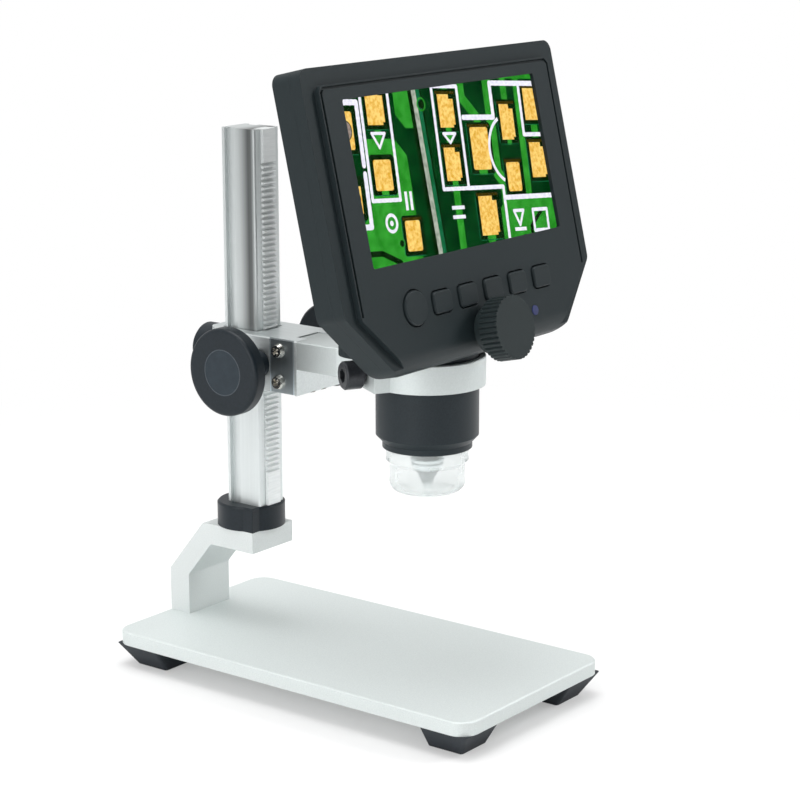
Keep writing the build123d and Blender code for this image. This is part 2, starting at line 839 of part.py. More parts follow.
def head_side(inset, back):
    """Side view of the head: a flat front that rolls under at the bottom, drawn in by an inset."""
    low = head_bottom + inset
    high = head_top - inset
    cut = room_chamfer if inset else 0
    corners = [(inset, high), (inset, low + cut), (inset + cut, low), (back, low), (back, high)]
    if not inset:
        corners.remove((inset + cut, low))
    face = Polygon(*corners, align=None)
    if not inset:
        face = round_corners(face, [(inset, low, roll_radius), (inset, high, top_edge_radius)])
    return side_profile(face, head_half)


def housing_form():
    form = front_slab(rim_face(), panel_step, head_depth) + front_slab(panel_face(), 0, panel_step + 1)
    return form & head_side(0, head_depth)


def housing_room():
    back = head_depth - wall
    room = front_slab(rim_face(wall), panel_step + wall, back)
    room += front_slab(panel_face(wall), wall, panel_step + wall + 1)
    return room & head_side(wall, back)


def leaning_y(depth, z):
    """Where a plane at some depth behind the head's front passes through a height."""
    angle = radians(lean)
    return screen_y + (depth + (z - screen_z) * sin(angle)) / cos(angle)


def bulge_form(inset):
    """The rear housing round the optics: upright at the bottom, sloping into the head above."""
    low = bulge_bottom + inset
    high = bulge_bottom + bulge_rise - inset
    knee = bulge_bottom + bulge_knee_rise
    back = bulge_back_y - inset
    seam = head_depth - 1 - inset
    outline = Polygon(
        (leaning_y(seam, low), low),
        (back, low),
        (back, knee),
        (leaning_y(head_depth + 0.5 - inset, high), high),
        (leaning_y(seam, high), high),
        align=None,
    )
    rounds = [(back, knee, bulge_knee_radius)]
    if not inset:
        rounds.append((back, low, bulge_bottom_radius))
    form = side_profile(round_corners(outline, rounds), bulge_half - inset)
    depth = back - leaning_y(0, low)
    plan = RectangleRounded(2 * (bulge_half - inset), 2 * depth, bulge_corner - inset)
    return form & plan_slab(Pos(0, back - depth) * plan, low - 1, high + 1)


def behind(depth):
    return head * box(-80, 80, depth, 80, -80, 80)


def housing_screw_places():
    heights = (housing_screw_low_v, housing_screw_top_v)
    return [(side * housing_screw_u, v) for side in (-1, 1) for v in heights]


def board_screw_places():
    return [(side * board_screw_u, board_screw_v) for side in (-1, 1)]


def button_face(index, grow):
    u = button_us[index]
    if index == 0:
        return Pos(u, button_row_v) * Circle(power_radius + grow)
    sketch = RectangleRounded(button_width + 2 * grow, button_height + 2 * grow, button_corner + grow)
    return Pos(u, button_row_v) * sketch


def window_pane(grow):
    margin = 2 * window_margin + grow
    return Rectangle(window_width + margin, window_height + margin)


def make_front_bezel():
    bezel = (housing_form() - housing_room()) & box(-80, 80, -1, parting, -80, 80)
    window = RectangleRounded(window_width, window_height, window_corner)
    bezel -= front_slab(window, -1, wall + 1)
    pane = window_pane(slack)
    bezel -= front_slab(pane, window_recess, wall + 1)
    for index in range(6):
        bezel -= front_slab(button_face(index, gap), -1, wall + 1)
    for u, v in housing_screw_places():
        bezel += rod_y(post_radius, panel_step + wall - slack, parting, u, v)
        bezel -= rod_y(housing_screw[0] + slack, parting - housing_screw_bite - gap, parting + 1, u, v)
    for u, v in board_screw_places():
        bezel += rod_y(board_post_radius, wall - slack, board_front, u, v)
        bezel -= rod_y(board_screw[0] + slack, board_back - board_screw_bite - gap, board_front + 1, u, v)
    bezel += rod_y(wheel_boss_radius, wall - slack, parting, 0, wheel_v)
    bezel -= rod_y(wheel_shaft_radius + fit, -1, parting + 1, 0, wheel_v)
    return head * (bezel - rod_y(indicator_radius + slack, -1, wall + 2, indicator_u, indicator_v))


def make_rear_shell():
    solid = (head * housing_form()) + bulge_form(0)
    shell = (solid & behind(parting)) - head * housing_room() - bulge_form(wall)
    radius, head_radius, _ = housing_screw
    for u, v in housing_screw_places():
        shell += head * rod_y(post_radius, parting, head_depth, u, v)
        shell -= head * rod_y(head_radius + slack, screw_seat, head_depth + 1, u, v)
        shell -= head * rod_y(radius + slack, parting - 1, head_depth, u, v)
    shell -= rod_z(barrel_radius + fit, bulge_bottom - 3, flange_top, 0, axis_y)
    shell -= head * usb_opening() - head * card_opening()
    for x, y in barrel_screw_places():
        low = bulge_floor - barrel_screw_bite - slack
        shell -= rod_z(barrel_screw[0] + slack, low, bulge_floor + 1, x, y)
    return shell


def make_housing_screws():
    screw = Rot(-90, 0, 0) * pan_screw(housing_screw, screw_seat - parting + housing_screw_bite)
    return [head * Pos(u, screw_seat, v) * screw for u, v in housing_screw_places()]


# ---- head: display, boards and sockets -----------------------------------------------------------
def side_opening(height, v, width):
    """A slot through the right-hand wall in front of a socket on the main board."""
    low = board_back - slack
    high = board_back + height + 2 * slack
    half = width / 2 + 2 * slack
    return box(head_half - wall - 1, head_half + 1, low, high, v - half, v + half)


def usb_opening():
    return side_opening(usb_height, usb_v, usb_width)


def card_opening():
    return side_opening(card_height, card_v, card_width)


def make_screen_window():
    return head * front_slab(window_pane(-slack), window_recess, window_recess + window_thickness)


def make_lcd_panel():
    front = wall + fit
    panel = RectangleRounded(lcd_width, lcd_height, lcd_corner)
    return head * front_slab(panel, front, front + lcd_thickness)


def make_main_board():
    board = box(-board_half, board_half, board_front, board_back, board_bottom, board_top)
    low, high = board_front - 1, board_back + 1
    for side in (-1, 1):
        u = side * board_half
        board -= box(u - board_notch, u + board_notch, low, high, board_bottom - 1, board_notch_top)
    for u, v in board_screw_places():
        board -= rod_y(board_screw[0] + slack, low, high, u, v)
    return head * board


def make_board_screws():
    screw = Rot(-90, 0, 0) * pan_screw(board_screw, board_screw_bite)
    return [head * Pos(u, board_back, v) * screw for u, v in board_screw_places()]


def switch_top():
    return wall + button_lip + button_stem_length + button_travel + fit


def make_tact_switches():
    switches = []
    v = button_row_v
    for u in button_us:
        front = switch_top() + switch_plunger
        body = box(u - switch_half, u + switch_half, front, board_front, v - switch_half, v + switch_half)
        plunger = rod_y(switch_plunger_radius, switch_top(), board_front - switch_plunger, u, v)
        switches.append(head * (body + plunger))
    return switches


def make_battery():
    front = board_back + 2 * slack
    back = front + battery_thickness
    cell = box(-battery_half, battery_half, front, back, battery_bottom, battery_top)
    return head * fillet(cell.edges().filter_by(Axis.Y), battery_corner)


def make_socket(v, width, height):
    """Open-ended metal shell on the back of the main board, its mouth at the right-hand wall."""
    low, high = board_back, board_back + height
    half = width / 2
    body = box(socket_end - socket_length, socket_end, low, high, v - half, v + half)
    low, high, half = low + socket_wall, high - socket_wall, half - socket_wall
    return head * (body - box(socket_end - socket_depth, socket_end + 1, low, high, v - half, v + half))


def make_indicator_led():
    back = board_front - slack
    led = rod_y(indicator_radius, -indicator_proud, back, indicator_u, indicator_v)
    collar_radius = indicator_radius + indicator_collar
    return head * (led + rod_y(collar_radius, wall + indicator_proud, back, indicator_u, indicator_v))


# ---- head: optical tube ----------------------------------------------------------------------------
def barrel_screw_places():
    places = [(-barrel_screw_x, barrel_screw_y), (barrel_screw_x, barrel_screw_y), (0.0, barrel_screw_x)]
    return [(x, axis_y + y) for x, y in places]


def make_barrel():
    """Stepped tube with a seat for the light ring and a flange inside the housing."""
    tip = barrel_tip
    shoulder = tip + barrel_foot_height
    seat = led_board_bottom
    outline = Polygon(
        (barrel_mouth, tip),
        (barrel_foot_radius, tip),
        (barrel_foot_radius, shoulder),
        (barrel_radius, shoulder + barrel_taper_height),
        (barrel_radius, flange_top),
        (barrel_inner, flange_top),
        (barrel_inner, barrel_bore_start),
        (led_seat_radius, seat_top),
        (led_seat_radius, seat),
        (barrel_mouth, seat),
        align=None,
    )
    tube = revolve(Plane.XZ * outline, Axis.Z)
    flange = tube_z(flange_radius, barrel_inner, bulge_floor, flange_top)
    flange &= box(-flange_half, flange_half, flange_front, flange_back, bulge_floor - 1, flange_top + 1)
    barrel = Pos(0, axis_y, 0) * (tube + flange)
    for x, y in barrel_screw_places():
        barrel -= rod_z(barrel_screw[0] + slack, bulge_floor, flange_top + 1, x, y)
    return barrel


def make_barrel_screws():
    screw = pan_screw(barrel_screw, flange_thickness + barrel_screw_bite)
    return [Pos(x, y, flange_top) * screw for x, y in barrel_screw_places()]


def make_lens_guide():
    """Web and sleeve that carry the sliding lens tube."""
    low = sleeve_bottom
    guide = rod_z(barrel_inner - fit, low, low + sleeve_web)
    guide += rod_z(lens_tube_radius + sleeve_wall, low, low + sleeve_height)
    return Pos(0, axis_y, 0) * (guide - rod_z(lens_tube_radius + fit, low - 1, low + sleeve_height + 1))


def make_led_board():
    low = led_board_bottom
    hole = lens_cell_radius + gap
    return tube_z(led_seat_radius - slack, hole, low, led_board_top, 0, axis_y)


def make_leds():
    half = led_size / 2
    led = box(-half, half, -half, half, led_board_bottom - led_height, led_board_bottom)
    ring = [Rot(0, 0, 360 * n / led_count) * Pos(led_circle, 0, 0) * led for n in range(led_count)]
    return [Pos(0, axis_y, 0) * led for led in ring]


def make_nose_cone():
    """Clear light guide: a thick cylinder whose bore takes the lens cell and narrows to a cone."""
    top = barrel_tip
    low = nose_bottom
    shoulder = top - nose_flange_height
    bore = lens_cell_radius + gap
    cone_end = nose_bore_end - nose_cone_length
    outline = Polygon(
        (bore, top),
        (nose_flange_radius, top),
        (nose_flange_radius, shoulder),
        (nose_radius, shoulder - nose_taper),
        (nose_radius, low),
        (nose_cone_end, low),
        (nose_cone_end, cone_end),
        (nose_cone_top, nose_bore_end),
        (bore, nose_bore_end),
        align=None,
    )
    guide = revolve(Plane.XZ * round_corners(outline, [(nose_radius, low, nose_round)]), Axis.Z)
    return Pos(0, axis_y, 0) * guide


def make_sensor_bracket():
    half = sensor_plate_half
    low, high = sensor_plate_bottom, sensor_plate_top
    bracket = box(-half, half, sensor_plate_front, sensor_plate_back, low, high)
    bracket -= rod_z(sensor_hole_radius, low - 1, high + 1)
    for x0 in (-half, half - sensor_leg):
        bracket += box(x0, x0 + sensor_leg, sensor_plate_front, 0, flange_top, high)
    return Pos(0, axis_y, 0) * bracket


def make_sensor_board():
    x, y = sensor_board_half
    return Pos(0, axis_y, 0) * box(-x, x, -y, y, sensor_plate_top, sensor_plate_top + board_thickness)


def make_image_sensor():
    half = sensor_half
    sensor = box(-half, half, -half, half, sensor_plate_top - sensor_height, sensor_plate_top)
    return Pos(0, axis_y, 0) * sensor


# ---- focus wheel and lens tube ---------------------------------------------------------------------
def make_focus_wheel():
    """Ribbed disc on a neck, bored from behind for the shaft."""
    rim = Circle(wheel_radius)
    groove = Pos(wheel_radius, 0) * Rot(0, 0, 45) * Rectangle(wheel_groove_side, wheel_groove_side)
    for index in range(wheel_grooves):
        rim -= Rot(0, 0, 360 * index / wheel_grooves) * groove
    wheel = front_slab(Pos(0, wheel_v) * rim, wheel_front, wheel_back)
    wheel += rod_y(wheel_neck_radius, wheel_back - slack, -gap, 0, wheel_v)
    bore = wheel_front + wheel_bore_depth
    return head * (wheel - rod_y(wheel_shaft_radius + press, bore, 1, 0, wheel_v))


def make_focus_shaft():
    front = wheel_front + wheel_bore_depth
    return head * rod_y(wheel_shaft_radius, front, lens_pinion_back, 0, wheel_v)


def make_focus_pinion():
    face = gear_face(lens_module, lens_pinion_teeth) - Circle(wheel_shaft_radius + press)
    return head * front_slab(Pos(0, wheel_v) * face, lens_pinion_front, lens_pinion_back)


def lens_rack():
    """Rack on the lens tube; its teeth lie along the wheel's shaft, which is not square to the tube."""
    reach = lens_travel + lens_rack_reach
    face = rack_face(lens_module, lens_rack_gaps, lens_rack_gaps, lens_web + 1, -reach, reach)
    face = Pos(lens_pinion_radius, wheel_v) * face
    return head * front_slab(face, lens_pinion_front - 2 * slack, lens_pinion_back + 6 * slack)


def make_lens_tube():
    """Tube with a slim cell at its lower end, and a web that carries its rack."""
    shoulder = lens_cell_top + lens_shoulder
    tube = rod_z(lens_tube_radius, lens_cell_top, lens_tube_top, 0, axis_y)
    tube += rod_z(lens_cell_radius, lens_tube_bottom, shoulder, 0, axis_y)
    inner = lens_pinion_radius + 2 * root_depth * lens_module
    front = axis_y - barrel_inner + lens_web_clear
    web = box(inner, inner + lens_web, front, axis_y - 1, lens_tube_top - 11, lens_tube_top - 1)
    tube += web & behind(lens_pinion_front + gap)
    tube += lens_rack()
    tube -= rod_z(lens_tube_bore, shoulder, lens_tube_top + 1, 0, axis_y)
    return tube - rod_z(lens_cell_bore, lens_tube_bottom - 1, shoulder + 1, 0, axis_y)


def lens(radius, z, thickness, sag):
    """Double-convex lens element centred on a height."""
    curve = (radius**2 + sag**2) / (2 * sag)
    shift = curve - thickness / 2
    ball = Rot(90, 0, 0) * Sphere(curve)
    element = Cylinder(radius, thickness) & (Pos(0, 0, shift) * ball) & (Pos(0, 0, -shift) * ball)
    return Pos(0, axis_y, z) * element


def make_front_lens():
    return lens(lens_cell_bore - press, lens_tube_bottom + front_lens_height, 1.6, 0.4)


def make_rear_lens():
    return lens(lens_tube_bore - press, lens_tube_bottom + rear_lens_height, 2.2, 0.6)


# ---- buttons ------------------------------------------------------------------------------------------
def make_button(index):
    """Cap in its opening, a wider lip behind the panel, and a stem that reaches the switch."""
    cap = front_slab(button_face(index, 0), -button_proud, wall + button_lip)
    cap = chamfer(cap.edges().group_by(Axis.Y)[0], button_chamfer)
    grow = gap + button_lip
    lip = front_slab(button_face(index, grow), wall + slack, wall + slack + button_lip)
    stem_end = wall + button_lip + button_stem_length
    stem = rod_y(button_stem_radius, wall, stem_end, button_us[index], button_row_v)
    return head * (cap + lip + stem)


# ---- all nodes --------------------------------------------------------------------------------------
nodes = {
    "base_plate": make_base_plate,
    "feet": make_feet,
    "foot_screws": make_foot_screws,
    "bracket": make_bracket,
    "bracket_screws": make_bracket_screws,
    "column_collar": make_collar,
    "column": make_column,
    "column_screw": make_column_screw,
    "rack": make_rack,
    "rack_screws": make_rack_screws,
    "carriage_block": make_carriage_block,
    "ring_arm": make_ring_arm,
    "arm_screws": make_arm_screws,
    "side_plate": make_side_plate,
    "side_plate_screws": make_side_plate_screws,
    "shaft_bushes": make_shaft_bushes,
    "lock_pad": make_lock_pad,
    "pinion": make_pinion,
    "pinion_shaft": make_pinion_shaft,
    "right_focus_knob": make_right_knob,
    "left_focus_knob": lambda: mirror(make_right_knob(), Plane.YZ),
    "knob_caps": make_knob_caps,
    "knob_set_screws": make_knob_set_screws,
    "lock_knob": make_lock_knob,
    "lock_screw": make_lock_screw,
    "clamp_screw": make_clamp_screw,
    "front_bezel": make_front_bezel,
    "rear_shell": make_rear_shell,
    "housing_screws": make_housing_screws,
    "screen_window": make_screen_window,
    "lcd_panel": make_lcd_panel,
    "main_board": make_main_board,
    "board_screws": make_board_screws,
    "tact_switches": make_tact_switches,
    "battery": make_battery,
    "usb_socket": lambda: make_socket(usb_v, usb_width, usb_height),
    "card_socket": lambda: make_socket(card_v, card_width, card_height),
    "indicator_led": make_indicator_led,
    "barrel": make_barrel,
    "barrel_screws": make_barrel_screws,
    "lens_guide": make_lens_guide,
    "led_board": make_led_board,
    "leds": make_leds,
    "nose_cone": make_nose_cone,
    "sensor_bracket": make_sensor_bracket,
    "sensor_board": make_sensor_board,
    "image_sensor": make_image_sensor,
    "focus_wheel": make_focus_wheel,
    "focus_shaft": make_focus_shaft,
    "focus_pinion": make_focus_pinion,
    "lens_tube": make_lens_tube,
    "front_lens": make_front_lens,
    "rear_lens": make_rear_lens,
    "power_button": lambda: make_button(0),
}
for number in range(1, 6):
    nodes[f"menu_button_{number}"] = lambda number=number: make_button(number)

os.makedirs("parts", exist_ok=True)
for name, make in nodes.items():
    shape = make()
    if isinstance(shape, list):
        shape = Compound(children=shape)
    export_step(shape, f"parts/{name}.step")
    print(name, round(shape.volume, 1))
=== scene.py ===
from math import cos, pi, radians, sin

import bmesh
import bpy
from mathutils import Matrix, Vector


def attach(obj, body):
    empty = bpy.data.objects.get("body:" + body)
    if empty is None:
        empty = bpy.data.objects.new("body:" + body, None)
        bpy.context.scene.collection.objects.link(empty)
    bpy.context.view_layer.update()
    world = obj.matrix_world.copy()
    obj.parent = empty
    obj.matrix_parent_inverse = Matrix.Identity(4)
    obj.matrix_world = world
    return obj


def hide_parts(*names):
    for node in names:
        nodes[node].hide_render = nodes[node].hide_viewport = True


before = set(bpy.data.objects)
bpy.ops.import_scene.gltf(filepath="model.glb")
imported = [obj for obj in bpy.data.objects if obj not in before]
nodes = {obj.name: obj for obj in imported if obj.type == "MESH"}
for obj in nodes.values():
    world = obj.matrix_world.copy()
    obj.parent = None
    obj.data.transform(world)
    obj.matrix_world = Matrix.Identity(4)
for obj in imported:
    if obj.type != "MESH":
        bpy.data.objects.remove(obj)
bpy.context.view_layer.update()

mm = 0.001

# ---- places that follow from the frame, in millimetres where mm isn't named ----------------------
head_lean = radians(13.2)
screen_centre = Vector((0.0, -40.5, 170.4)) * mm
# Turns right, behind the front face and up, as the screen has them, into the frame's coordinates.
head = Matrix.Translation(screen_centre) @ Matrix.Rotation(-head_lean, 4, "X")
pinion_y, pinion_z = 29.07, 103.05  # the pinion's axis runs along X
nose_y = -29.5  # the nose's axis stands upright
# Painted shade: the column and rack darken upwards between these heights.
column_shade_span = (60, 176)  # heights between which the column and rack change their tone


# ---- node materials ------------------------------------------------------------------------------
grain_stops = (0.3, 0.7)  # the part of a noise over which a colour changes
bump_distance = 0.05 * mm


def new_material(name):
    material = bpy.data.materials.new(name)
    material.use_nodes = True
    tree = material.node_tree
    return material, tree, tree.nodes["Principled BSDF"]


def add(tree, kind, **settings):
    """A node with its inputs set by socket name, and its other settings by attribute."""
    node = tree.nodes.new("ShaderNode" + kind)
    for key, value in settings.items():
        if key in node.inputs:
            node.inputs[key].default_value = value
        else:
            setattr(node, key, value)
    return node


def link(tree, source, output, target, socket):
    tree.links.new(source.outputs[output], target.inputs[socket])


def set_inputs(shader, values):
    for socket, value in values.items():
        shader.inputs[socket].default_value = value


def coordinates(tree, stretch=(1, 1, 1)):
    """Object coordinates, drawn out along one axis where a stretch is given."""
    place = add(tree, "TexCoord")
    mapping = add(tree, "Mapping", Scale=stretch)
    link(tree, place, "Object", mapping, "Vector")
    return mapping


def noise(tree, source, scale, detail=3.0):
    node = add(tree, "TexNoise", Scale=scale, Detail=detail, Roughness=0.55)
    link(tree, source, "Vector", node, "Vector")
    return node


def ramp(tree, source, output, stops):
    """Colour ramp through (position, colour) stops."""
    node = add(tree, "ValToRGB")
    elements = node.color_ramp.elements
    elements[0].position, elements[0].color = stops[0][0], (*stops[0][1], 1)
    elements[1].position, elements[1].color = stops[-1][0], (*stops[-1][1], 1)
    for position, colour in stops[1:-1]:
        elements.new(position).color = (*colour, 1)
    link(tree, source, output, node, "Fac")
    return node


def mottled(tree, shader, socket, low, high, scale, detail=3.0, stops=grain_stops):
    """Colour that wanders between two values, for one input of a shader. Returns its noise."""
    grain = noise(tree, coordinates(tree), scale, detail)
    colour = ramp(tree, grain, "Fac", [(stops[0], low), (stops[1], high)])
    link(tree, colour, "Color", shader, socket)
    return grain


def roughened(tree, shader, grain, low, high):
    """Roughness that wanders between two values with a noise."""
    node = add(tree, "MapRange", **{"To Min": low, "To Max": high})
    link(tree, grain, "Fac", node, "Value")
    link(tree, node, "Result", shader, "Roughness")


def progress(tree, split, axis, start, end):
    """How far a point is from start to end along one axis, as 0 to 1."""
    node = add(tree, "MapRange", **{"From Min": start * mm, "From Max": end * mm})
    link(tree, split, axis, node, "Value")
    return node


def toned(tree, colour, axis, start, end, stops, fade=None):
    """Multiplies a colour by greys that run along one axis of the object.

    Where fade gives two heights, the greys come in between them.
    """
    place = add(tree, "TexCoord")
    split = add(tree, "SeparateXYZ")
    link(tree, place, "Object", split, "Vector")
    greys = [(stop, (grey, grey, grey)) for stop, grey in stops]
    tone = ramp(tree, progress(tree, split, axis, start, end), "Result", greys)
    mix = add(tree, "MixRGB", blend_type="MULTIPLY", Fac=1.0)
    link(tree, colour, "Color", mix, "Color1")
    link(tree, tone, "Color", mix, "Color2")
    if fade:
        link(tree, progress(tree, split, "Z", *fade), "Result", mix, "Fac")
    return mix


def surface(
    name, dark, light, rough, scale, bump, edge,
    metallic=0.0, stretch=(1, 1, 1), tones=(), specular=0.5, coat=0.0,
):
    """A surface whose colour and roughness wander between two values, with a fine grain.

    scale and bump are the grain's fineness and strength, and edge is the radius in millimetres
    that its edges are shaded with.
    """
    material, tree, shader = new_material(name)
    place = coordinates(tree, stretch)
    grain = noise(tree, place, scale)
    colour = ramp(tree, grain, "Fac", [(grain_stops[0], dark), (grain_stops[1], light)])
    for tone in tones:
        colour = toned(tree, colour, *tone)
    link(tree, colour, "Color", shader, "Base Color")
    roughened(tree, shader, grain, *rough)
    set_inputs(shader, {"Metallic": metallic, "Specular IOR Level": specular, "Coat Weight": coat})
    relief = add(tree, "Bump", Strength=bump, Distance=bump_distance)
    fine = noise(tree, place, scale * 2.2, detail=2.0)
    link(tree, fine, "Fac", relief, "Height")
    bevel = add(tree, "Bevel", Radius=edge * mm, samples=4)
    link(tree, bevel, "Normal", relief, "Normal")
    link(tree, relief, "Normal", shader, "Normal")
    return material


def clear(name, low, high, rough, scale, transmission, ior):
    """Clear or milky plastic or glass with a trace of haze in it."""
    material, tree, shader = new_material(name)
    haze = mottled(tree, shader, "Base Color", low, high, scale, detail=2.0)
    roughened(tree, shader, haze, *rough)
    set_inputs(shader, {"Transmission Weight": transmission, "IOR": ior})
    return material


def glowing(name, low, high, strength):
    """A lit surface: its colour wanders a little."""
    material, tree, shader = new_material(name)
    mottled(tree, shader, "Emission Color", low, high, 900.0)
    set_inputs(shader, {
        "Emission Strength": strength, "Base Color": (0.01, 0.01, 0.01, 1), "Roughness": 0.35,
    })
    return material


# ---- materials on the CAD nodes ------------------------------------------------------------------
def dress(material, *names):
    """Puts a material on CAD nodes in place of what they have."""
    for name in names:
        slots = nodes[name].data.materials
        slots.clear()
        slots.append(material)


def dress_metals():
    # Bead-blasted, clear anodised aluminium. The bracket's is a little less of a mirror.
    dress(surface(
        "silver_blasted", (0.62, 0.665, 0.66), (0.70, 0.745, 0.735), rough=(0.54, 0.64),
        scale=2600.0, bump=0.25, edge=0.35, metallic=0.45,
    ), "base_plate")
    dress(surface(
        "silver_bracket", (0.63, 0.665, 0.66), (0.69, 0.725, 0.72), rough=(0.50, 0.60),
        scale=2600.0, bump=0.15, edge=0.3, metallic=0.35,
    ), "bracket")
    # Drawn column: faint streaks along its length, and a dark band of painted shade up the front
    # half of its sides, where the dark head is reflected; it comes in above the carriage.
    painted_shade_band = [
        (0.0, 1.0), (0.025, 1.0), (0.05, 0.66), (0.13, 0.20), (0.21, 0.17),
        (0.32, 0.44), (0.46, 0.76), (0.64, 0.98), (1.0, 1.0),
    ]
    dress(surface(
        "silver_extruded", (0.64, 0.68, 0.68), (0.70, 0.74, 0.74), rough=(0.32, 0.42),
        scale=700.0, bump=0.04, edge=0.2, metallic=0.65, stretch=(1, 1, 0.02),
        tones=[
            # Painted shade: darker upwards.
            ("Z", *column_shade_span, [(0.0, 1.0), (0.45, 0.94), (1.0, 0.82)]),
            # Painted shade: the dark band, coming in between 96 and 114 mm up.
            ("Y", 34, 48.4, painted_shade_band, (96, 114)),
        ],
    ), "column")
    # Milled and anodised carriage, with cutter marks across it.
    dress(surface(
        "silver_milled", (0.60, 0.64, 0.64), (0.68, 0.72, 0.72), rough=(0.32, 0.42),
        scale=1500.0, bump=0.06, edge=0.3, metallic=0.8, stretch=(1, 0.08, 1),
    ), "carriage_block")
    # Smooth satin arm and ring, with painted shade that darkens it towards the column.
    dress(surface(
        "silver_satin", (0.58, 0.625, 0.62), (0.63, 0.675, 0.67), rough=(0.46, 0.54),
        scale=1800.0, bump=0.06, edge=0.3, metallic=0.65,
        tones=[("Y", -4, 14, [(0.0, 1.0), (0.45, 0.90), (1.0, 0.66)])],
    ), "ring_arm")
    # Painted shade: the rack darkens upwards as the column does.
    dress(surface(
        "rack_steel", (0.76, 0.79, 0.79), (0.86, 0.89, 0.89), rough=(0.38, 0.50),
        scale=1600.0, bump=0.1, edge=0.08, metallic=0.3, stretch=(0.1, 1, 1),
        tones=[("Z", *column_shade_span, [(0.0, 1.0), (0.45, 0.92), (1.0, 0.76)])],
    ), "rack", "pinion", "pinion_shaft", "focus_shaft")
    dress(
        surface(
            "nickel", (0.60, 0.58, 0.53), (0.78, 0.76, 0.71), rough=(0.12, 0.25),
            scale=1800.0, bump=0.1, edge=0.08, metallic=1.0,
        ),
        "foot_screws", "bracket_screws", "column_screw", "rack_screws", "arm_screws",
        "side_plate_screws", "housing_screws", "board_screws", "barrel_screws",
    )
    # Satin strip behind the two side screws: painted highlights along its two edges, and painted
    # reflection of the dark head that darkens the rest, most towards its top.
    dress(surface(
        "dark_plate", (0.74, 0.85, 0.90), (0.84, 0.94, 0.98), rough=(0.34, 0.44),
        scale=1500.0, bump=0.06, edge=0.1, metallic=0.85, stretch=(1, 1, 0.05),
        tones=[
            # Painted reflection: darker towards the top.
            ("Z", 94, 112, [(0.0, 1.0), (0.35, 0.80), (0.62, 0.56), (1.0, 0.46)]),
            # Painted highlights at the two edges, painted reflection between them.
            ("Y", 14.7, 24.8, [
                (0.0, 1.0), (0.035, 1.0), (0.06, 0.48), (0.93, 0.48), (0.955, 1.0), (1.0, 1.0),
            ]),
        ],
    ), "side_plate")
    dress(surface(
        "black_steel", (0.018, 0.020, 0.024), (0.032, 0.035, 0.040), rough=(0.28, 0.42),
        scale=1900.0, bump=0.2, edge=0.25, metallic=0.4,
    ), "clamp_screw", "knob_set_screws", "lock_screw")
    dress(surface(
        "brass", (0.56, 0.40, 0.16), (0.70, 0.52, 0.24), rough=(0.2, 0.34),
        scale=1500.0, bump=0.1, edge=0.1, metallic=1.0,
    ), "shaft_bushes", "focus_pinion", "lock_pad")
    dress(surface(
        "tinned_steel", (0.55, 0.56, 0.56), (0.72, 0.73, 0.73), rough=(0.2, 0.34),
        scale=1500.0, bump=0.1, edge=0.1, metallic=1.0,
    ), "usb_socket", "card_socket")
    dress(surface(
        "foil", (0.44, 0.46, 0.50), (0.60, 0.62, 0.66), rough=(0.3, 0.5),
        scale=300.0, bump=0.3, edge=0.5, metallic=0.3,
    ), "battery")


def dress_plastics():
    dress(surface(
        "black_plastic", (0.006, 0.011, 0.015), (0.010, 0.016, 0.022), rough=(0.34, 0.46),
        scale=1400.0, bump=0.2, edge=0.3, specular=0.28,
    ), "column_collar", "right_focus_knob", "left_focus_knob", "lock_knob")
    # The discs let into the knobs are a shade lighter.
    dress(surface(
        "cap_plastic", (0.011, 0.020, 0.028), (0.017, 0.028, 0.038), rough=(0.40, 0.52),
        scale=500.0, bump=0.15, edge=0.1, specular=0.32,
    ), "knob_caps")
    dress(surface(
        "wheel_plastic", (0.010, 0.017, 0.018), (0.016, 0.024, 0.026), rough=(0.42, 0.54),
        scale=2600.0, bump=0.3, edge=0.12, specular=0.3,
    ), "focus_wheel")
    # Finely textured moulded housing.
    dress(surface(
        "housing_plastic", (0.0085, 0.015, 0.017), (0.014, 0.0215, 0.0245), rough=(0.46, 0.58),
        scale=3200.0, bump=0.35, edge=0.25, specular=0.24,
    ), "front_bezel", "rear_shell")
    dress(
        surface(
            "button_plastic", (0.010, 0.0165, 0.0185), (0.016, 0.023, 0.026), rough=(0.42, 0.54),
            scale=2800.0, bump=0.3, edge=0.25, specular=0.25,
        ),
        "power_button", *[f"menu_button_{n}" for n in range(1, 6)],
    )
    dress(surface(
        "rubber", (0.018, 0.023, 0.029), (0.028, 0.034, 0.041), rough=(0.55, 0.72),
        scale=2200.0, bump=0.4, edge=0.4, specular=0.35,
    ), "feet")
    # Black anodised parts of the optics.
    dress(surface(
        "barrel_black", (0.009, 0.015, 0.019), (0.015, 0.023, 0.028), rough=(0.38, 0.5),
        scale=2600.0, bump=0.2, edge=0.2, metallic=0.1, specular=0.3,
    ), "barrel", "lens_guide", "lens_tube", "sensor_bracket")
    dress(surface(
        "circuit_board", (0.006, 0.10, 0.035), (0.012, 0.16, 0.055), rough=(0.25, 0.38),
        scale=600.0, bump=0.1, edge=0.05, coat=0.5,
    ), "main_board", "sensor_board", "led_board")
    dress(surface(
        "component", (0.018, 0.018, 0.018), (0.035, 0.035, 0.035), rough=(0.4, 0.55),
        scale=2000.0, bump=0.2, edge=0.1,
    ), "tact_switches", "image_sensor")


